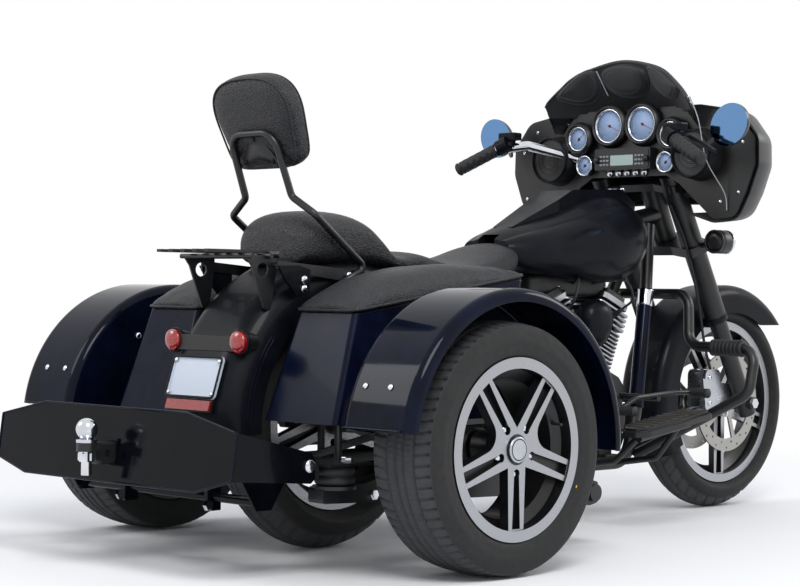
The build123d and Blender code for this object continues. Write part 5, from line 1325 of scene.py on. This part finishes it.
def make_engine():
    """Case, cover and rocker bolts, cover rings, plug boots and their leads."""
    inner = np.array([0.195, 0.300])
    rim = np.array([(-125, 82), (-40, 82), (40, 82), (125, 82), (203, 40), (203, -40), (125, -82), (40, -82),
                    (-40, -82), (-125, -82), (-190, -52), (-190, 56)]) / 1000
    domes("primary_bolts", 0.0062, 0.0062, [(x, -0.170, z, 0, -1, 0) for x, z in inner + 0.95 * rim])
    clutch = (0.070, 0, 0.302)
    for k, r in enumerate((0.070, 0.058)):
        path = arc_path(clutch, r, -0.180, 0, 360, 73)[:-1]
        carried(f"clutch_cover_ring_{k}", path, half_round(0.004, 0.0016), engine_black if k else chrome,
                closed=True, lift=(0, -1, 0))
    square = 45 + 90 * np.arange(4)
    screws = bolt_circle(clutch, 0.064, -0.180, -1, square)
    screws += [(x, -0.180, 0.300, 0, -1, 0) for x in (0.212, 0.312)]
    domes("cover_screws", 0.0048, 0.004, screws)
    domes("cam_cover_screws", 0.0055, 0.005, bolt_circle((0.344, 0, 0.296), 0.074, 0.126, 1, square))
    for k, s in enumerate((1, -1)):
        lean = radians(22.5) * s
        up = np.array([sin(lean), 0, cos(lean)])
        fore = np.array([cos(lean), 0, -sin(lean)])
        top = CRANK + 0.3735 * up
        corners = [(x, y) for x in (-0.044, 0.044) for y in (-0.052, 0.052)]
        spots = [(*(top + x * fore + y * ACROSS - 0.002 * up), *up) for x, y in corners]
        domes(f"rocker_bolts_{k}", 0.007, 0.007, spots)
        plug = CRANK + 0.300 * up - 0.062 * ACROSS
        boot = [(0, 0), (0.009, 0), (0.0085, 0.020), (0.006, 0.034), (0.005, 0.046), (0, 0.048)]
        turned_set(f"plug_boot_{k}", boot, [(*(plug - 0.006 * ACROSS), 0, -0.86, 0.5)], rubber, sides=16)
        lead = smooth_path([plug + (0, -0.046, 0.023), plug + (0.01 * s, -0.075, 0.055),
                            plug + (-0.02 * s, -0.060, 0.105), CRANK + (0.02 * s, -0.03, 0.365)], 40)
        carried(f"plug_lead_{k}", lead, ring_of(0.0036, 10), rubber, lift=(0.3, 1, 0))
    ring = arc_path((0.344, 0, 0.560), 0.060, 0.2062, 0, 360, 73)[:-1]
    carried("air_cover_ring", ring, half_round(0.005, 0.0016), chrome, closed=True, lift=(0, 1, 0))
    turned_set("air_cover_bolt", scaled(HEX, 0.011, 0.006), [(0.344, 0.2055, 0.560, 0, 1, 0)], chrome,
               sides=6)


def make_docking_plates():
    """The rack's docking plates beside the rear fender, with their domed bolts."""
    outline = np.array([(-0.872, 0.700), (-0.800, 0.702), (-0.770, 0.692), (-0.772, 0.636), (-0.812, 0.628),
                        (-0.852, 0.668)])
    for side, s in SIDES:
        rim = outline * (-s, 1) if s > 0 else outline
        slab(f"docking_plate_{side}", rim, -0.001, 0.006, satin, slot="black_powdercoat", bevel=0.0012,
             normal=(0, s, 0), origin=(0, s * 0.143, 0), across=(-s, 0, 0))
        spots = ((-0.793, 0.1488, 0.668), (-0.793, 0.1488, 0.646), (-0.640, 0.1428, 0.680))
        domes(f"docking_bolts_{side}", 0.0098, 0.0078, [(x, s * y, z, 0, s, 0) for x, y, z in spots],
              sides=20)


def make_coil_cover():
    """The dark coil cover between the heads and the tank: a superellipse section carried along it."""
    t = np.linspace(0, 1, 40)
    x = 0.120 + 0.350 * t
    swell = (1 - np.abs(2 * t - 1) ** 8) ** 0.25
    a = np.linspace(0, 2 * pi, 40, endpoint=False)
    c, s = np.cos(a), np.sin(a)
    y = 0.058 * swell[:, None] * squarish(c, 0.5)
    z = 0.667 + 0.034 * swell[:, None] * squarish(s, 0.5)
    points = np.stack([x[:, None] + 0 * y, y, z], -1)
    grid("coil_cover", points[1:-1], engine_black)


def make_horn():
    """The horn's pear-shaped cover: a rim loop drawn in over a dome of (1 - share ** 2.6) ** 0.5."""
    rim = smooth_path([(0.230, 0.575), (0.246, 0.612), (0.289, 0.628), (0.332, 0.612), (0.348, 0.575),
                       (0.336, 0.532), (0.312, 0.500), (0.282, 0.494), (0.254, 0.506), (0.240, 0.536)], 96,
                      closed=True)
    middle = np.array([0.289, 0.572])
    share = np.linspace(1, 0.03, 22)
    flat = middle + share[:, None, None] * (rim - middle)
    out = 0.150 + 0.040 * (1 - share ** 2.6) ** 0.5
    skirt = np.stack([rim[:, 0], np.full(96, -0.132), rim[:, 1]], -1)
    dome = np.stack([flat[..., 0], 0 * flat[..., 0] - out[:, None], flat[..., 1]], -1)
    back = middle + 0.05 * (rim - middle)
    close = np.stack([back[:, 0], np.full(96, -0.132), back[:, 1]], -1)
    cover = grid("horn_dome", np.concatenate([[close, skirt], dome]), satin)
    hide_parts("horn_cover")


def make_down_tube():
    """The right down tube's bright sleeve: a gloss tube with a chromed ferrule under the tank."""
    a, b = np.array([0.6208, -0.0625, 0.652]), np.array([0.5360, -0.0993, 0.318])
    t = np.linspace(0.10, 1.0, 40)[:, None]
    carried("down_tube_sleeve", a + t * (b - a), ring_of(0.0215, 28), gloss,
            lift=(0, 1, 0))
    t = np.linspace(-0.01, 0.13, 12)[:, None]
    carried("down_tube_ferrule", a + t * (b - a), ring_of(0.0235, 28), chrome, lift=(0, 1, 0))


def make_tank():
    """The ignition switch on the console and the two wings of its lever."""
    lean = np.array([-0.10, 0, 1.0])
    switch = [(0, 0), (0.021, 0), (0.021, 0.010), (0.018, 0.013), (0.0125, 0.0145), (0.012, 0.026),
              (0.009, 0.029), (0, 0.030)]
    turned_set("ignition_switch", switch, [(0.556, 0, 0.9195, *lean)], chrome, sides=40)
    wing = [(0, 0), (0.0045, 0), (0.0050, 0.012), (0.0042, 0.022), (0, 0.0225)]
    turned_set("ignition_lever", wing, pair(0.556, 0.009, 0.943, out=1, up=0.15), chrome, sides=16)


def fork_leg(s, z):
    """The middle of a fork leg at one height."""
    return np.array([1.017 - 0.56 * (z - 0.320), s * 0.128, z])


def make_fork():
    """Seals, axle nuts, caliper bolts and the hoses that run down to the calipers."""
    for side, s in SIDES:
        leg = partial(fork_leg, s)
        up = unit(leg(0.8) - leg(0.4))
        seal = [(0.0262, -0.010), (0.0335, -0.010), (0.0338, 0.006), (0.0325, 0.009), (0.0262, 0.009),
                (0.0262, -0.010)]
        turned_set(f"fork_seal_{side}", seal, [(*leg(0.578), *up)], satin, "steering",
                   sides=40)
        axle = [(1.017, s * 0.163, 0.320, 0, s, 0)]
        turned_set(f"axle_cap_{side}", scaled(HEX, 0.016, 0.009), axle, chrome, "steering", sides=6,
                   smooth=False)
        bolts = [(0.872, s * 0.107, z, 0, s, 0) for z in (0.398, 0.322)]
        domes(f"caliper_bolts_{side}", 0.0078, 0.006, bolts, body="steering")
        hose = smooth_path([leg(0.372) + (-0.098, -s * 0.030, 0.046), leg(0.50) + (-0.075, -s * 0.018, 0),
                            leg(0.66) + (-0.052, 0, 0), leg(0.80) + (-0.046, s * 0.01, 0),
                            leg(0.90) + (-0.044, 0, 0)], 60)
        carried(f"brake_hose_{side}", hose, ring_of(0.0042, 10), rubber, "steering", lift=(0, 1, 0))


def make_audio_lead():
    """The grey lead of the pouch's player, clipped down the fairing's inner side."""
    path = smooth_path([(0.5560, -0.262, 1.200), (0.5530, -0.296, 1.130), (0.5560, -0.322, 1.020),
                        (0.600, -0.352, 0.930), (0.6085, -0.356, 0.880)], 60)
    carried("player_lead", path, ring_of(0.0016, 8), cable_grey, "steering", lift=(1, 0, 0.2))


# Assembly ---------------------------------------------------------------------------------------

set_camera()
set_light()
for node_name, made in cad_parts.items():
    slot_name = node_slots.get(node_name, "black_powdercoat")
    dress(node_name, finish.get(node_name, by_slot[slot_name]))

for build in (make_wheels, make_bodywork, make_bags, make_lamps, make_plate, make_gear, make_cockpit,
              make_seat, make_backrest, make_pouches, make_lid_covers, make_kit, make_engine, make_horn,
              make_coil_cover, make_docking_plates, make_sissy_bar, make_down_tube, make_tank, make_fork,
              make_audio_lead):
    build()

floor_data = bpy.data.meshes.new("floor")
floor_data.from_pydata([(-14, -14, 0), (14, -14, 0), (14, 14, 0), (-14, 14, 0)], [], [(0, 1, 2, 3)])
floor = bpy.data.objects.new("floor", floor_data)
bpy.context.collection.objects.link(floor)
floor_data.materials.append(floor_paint())
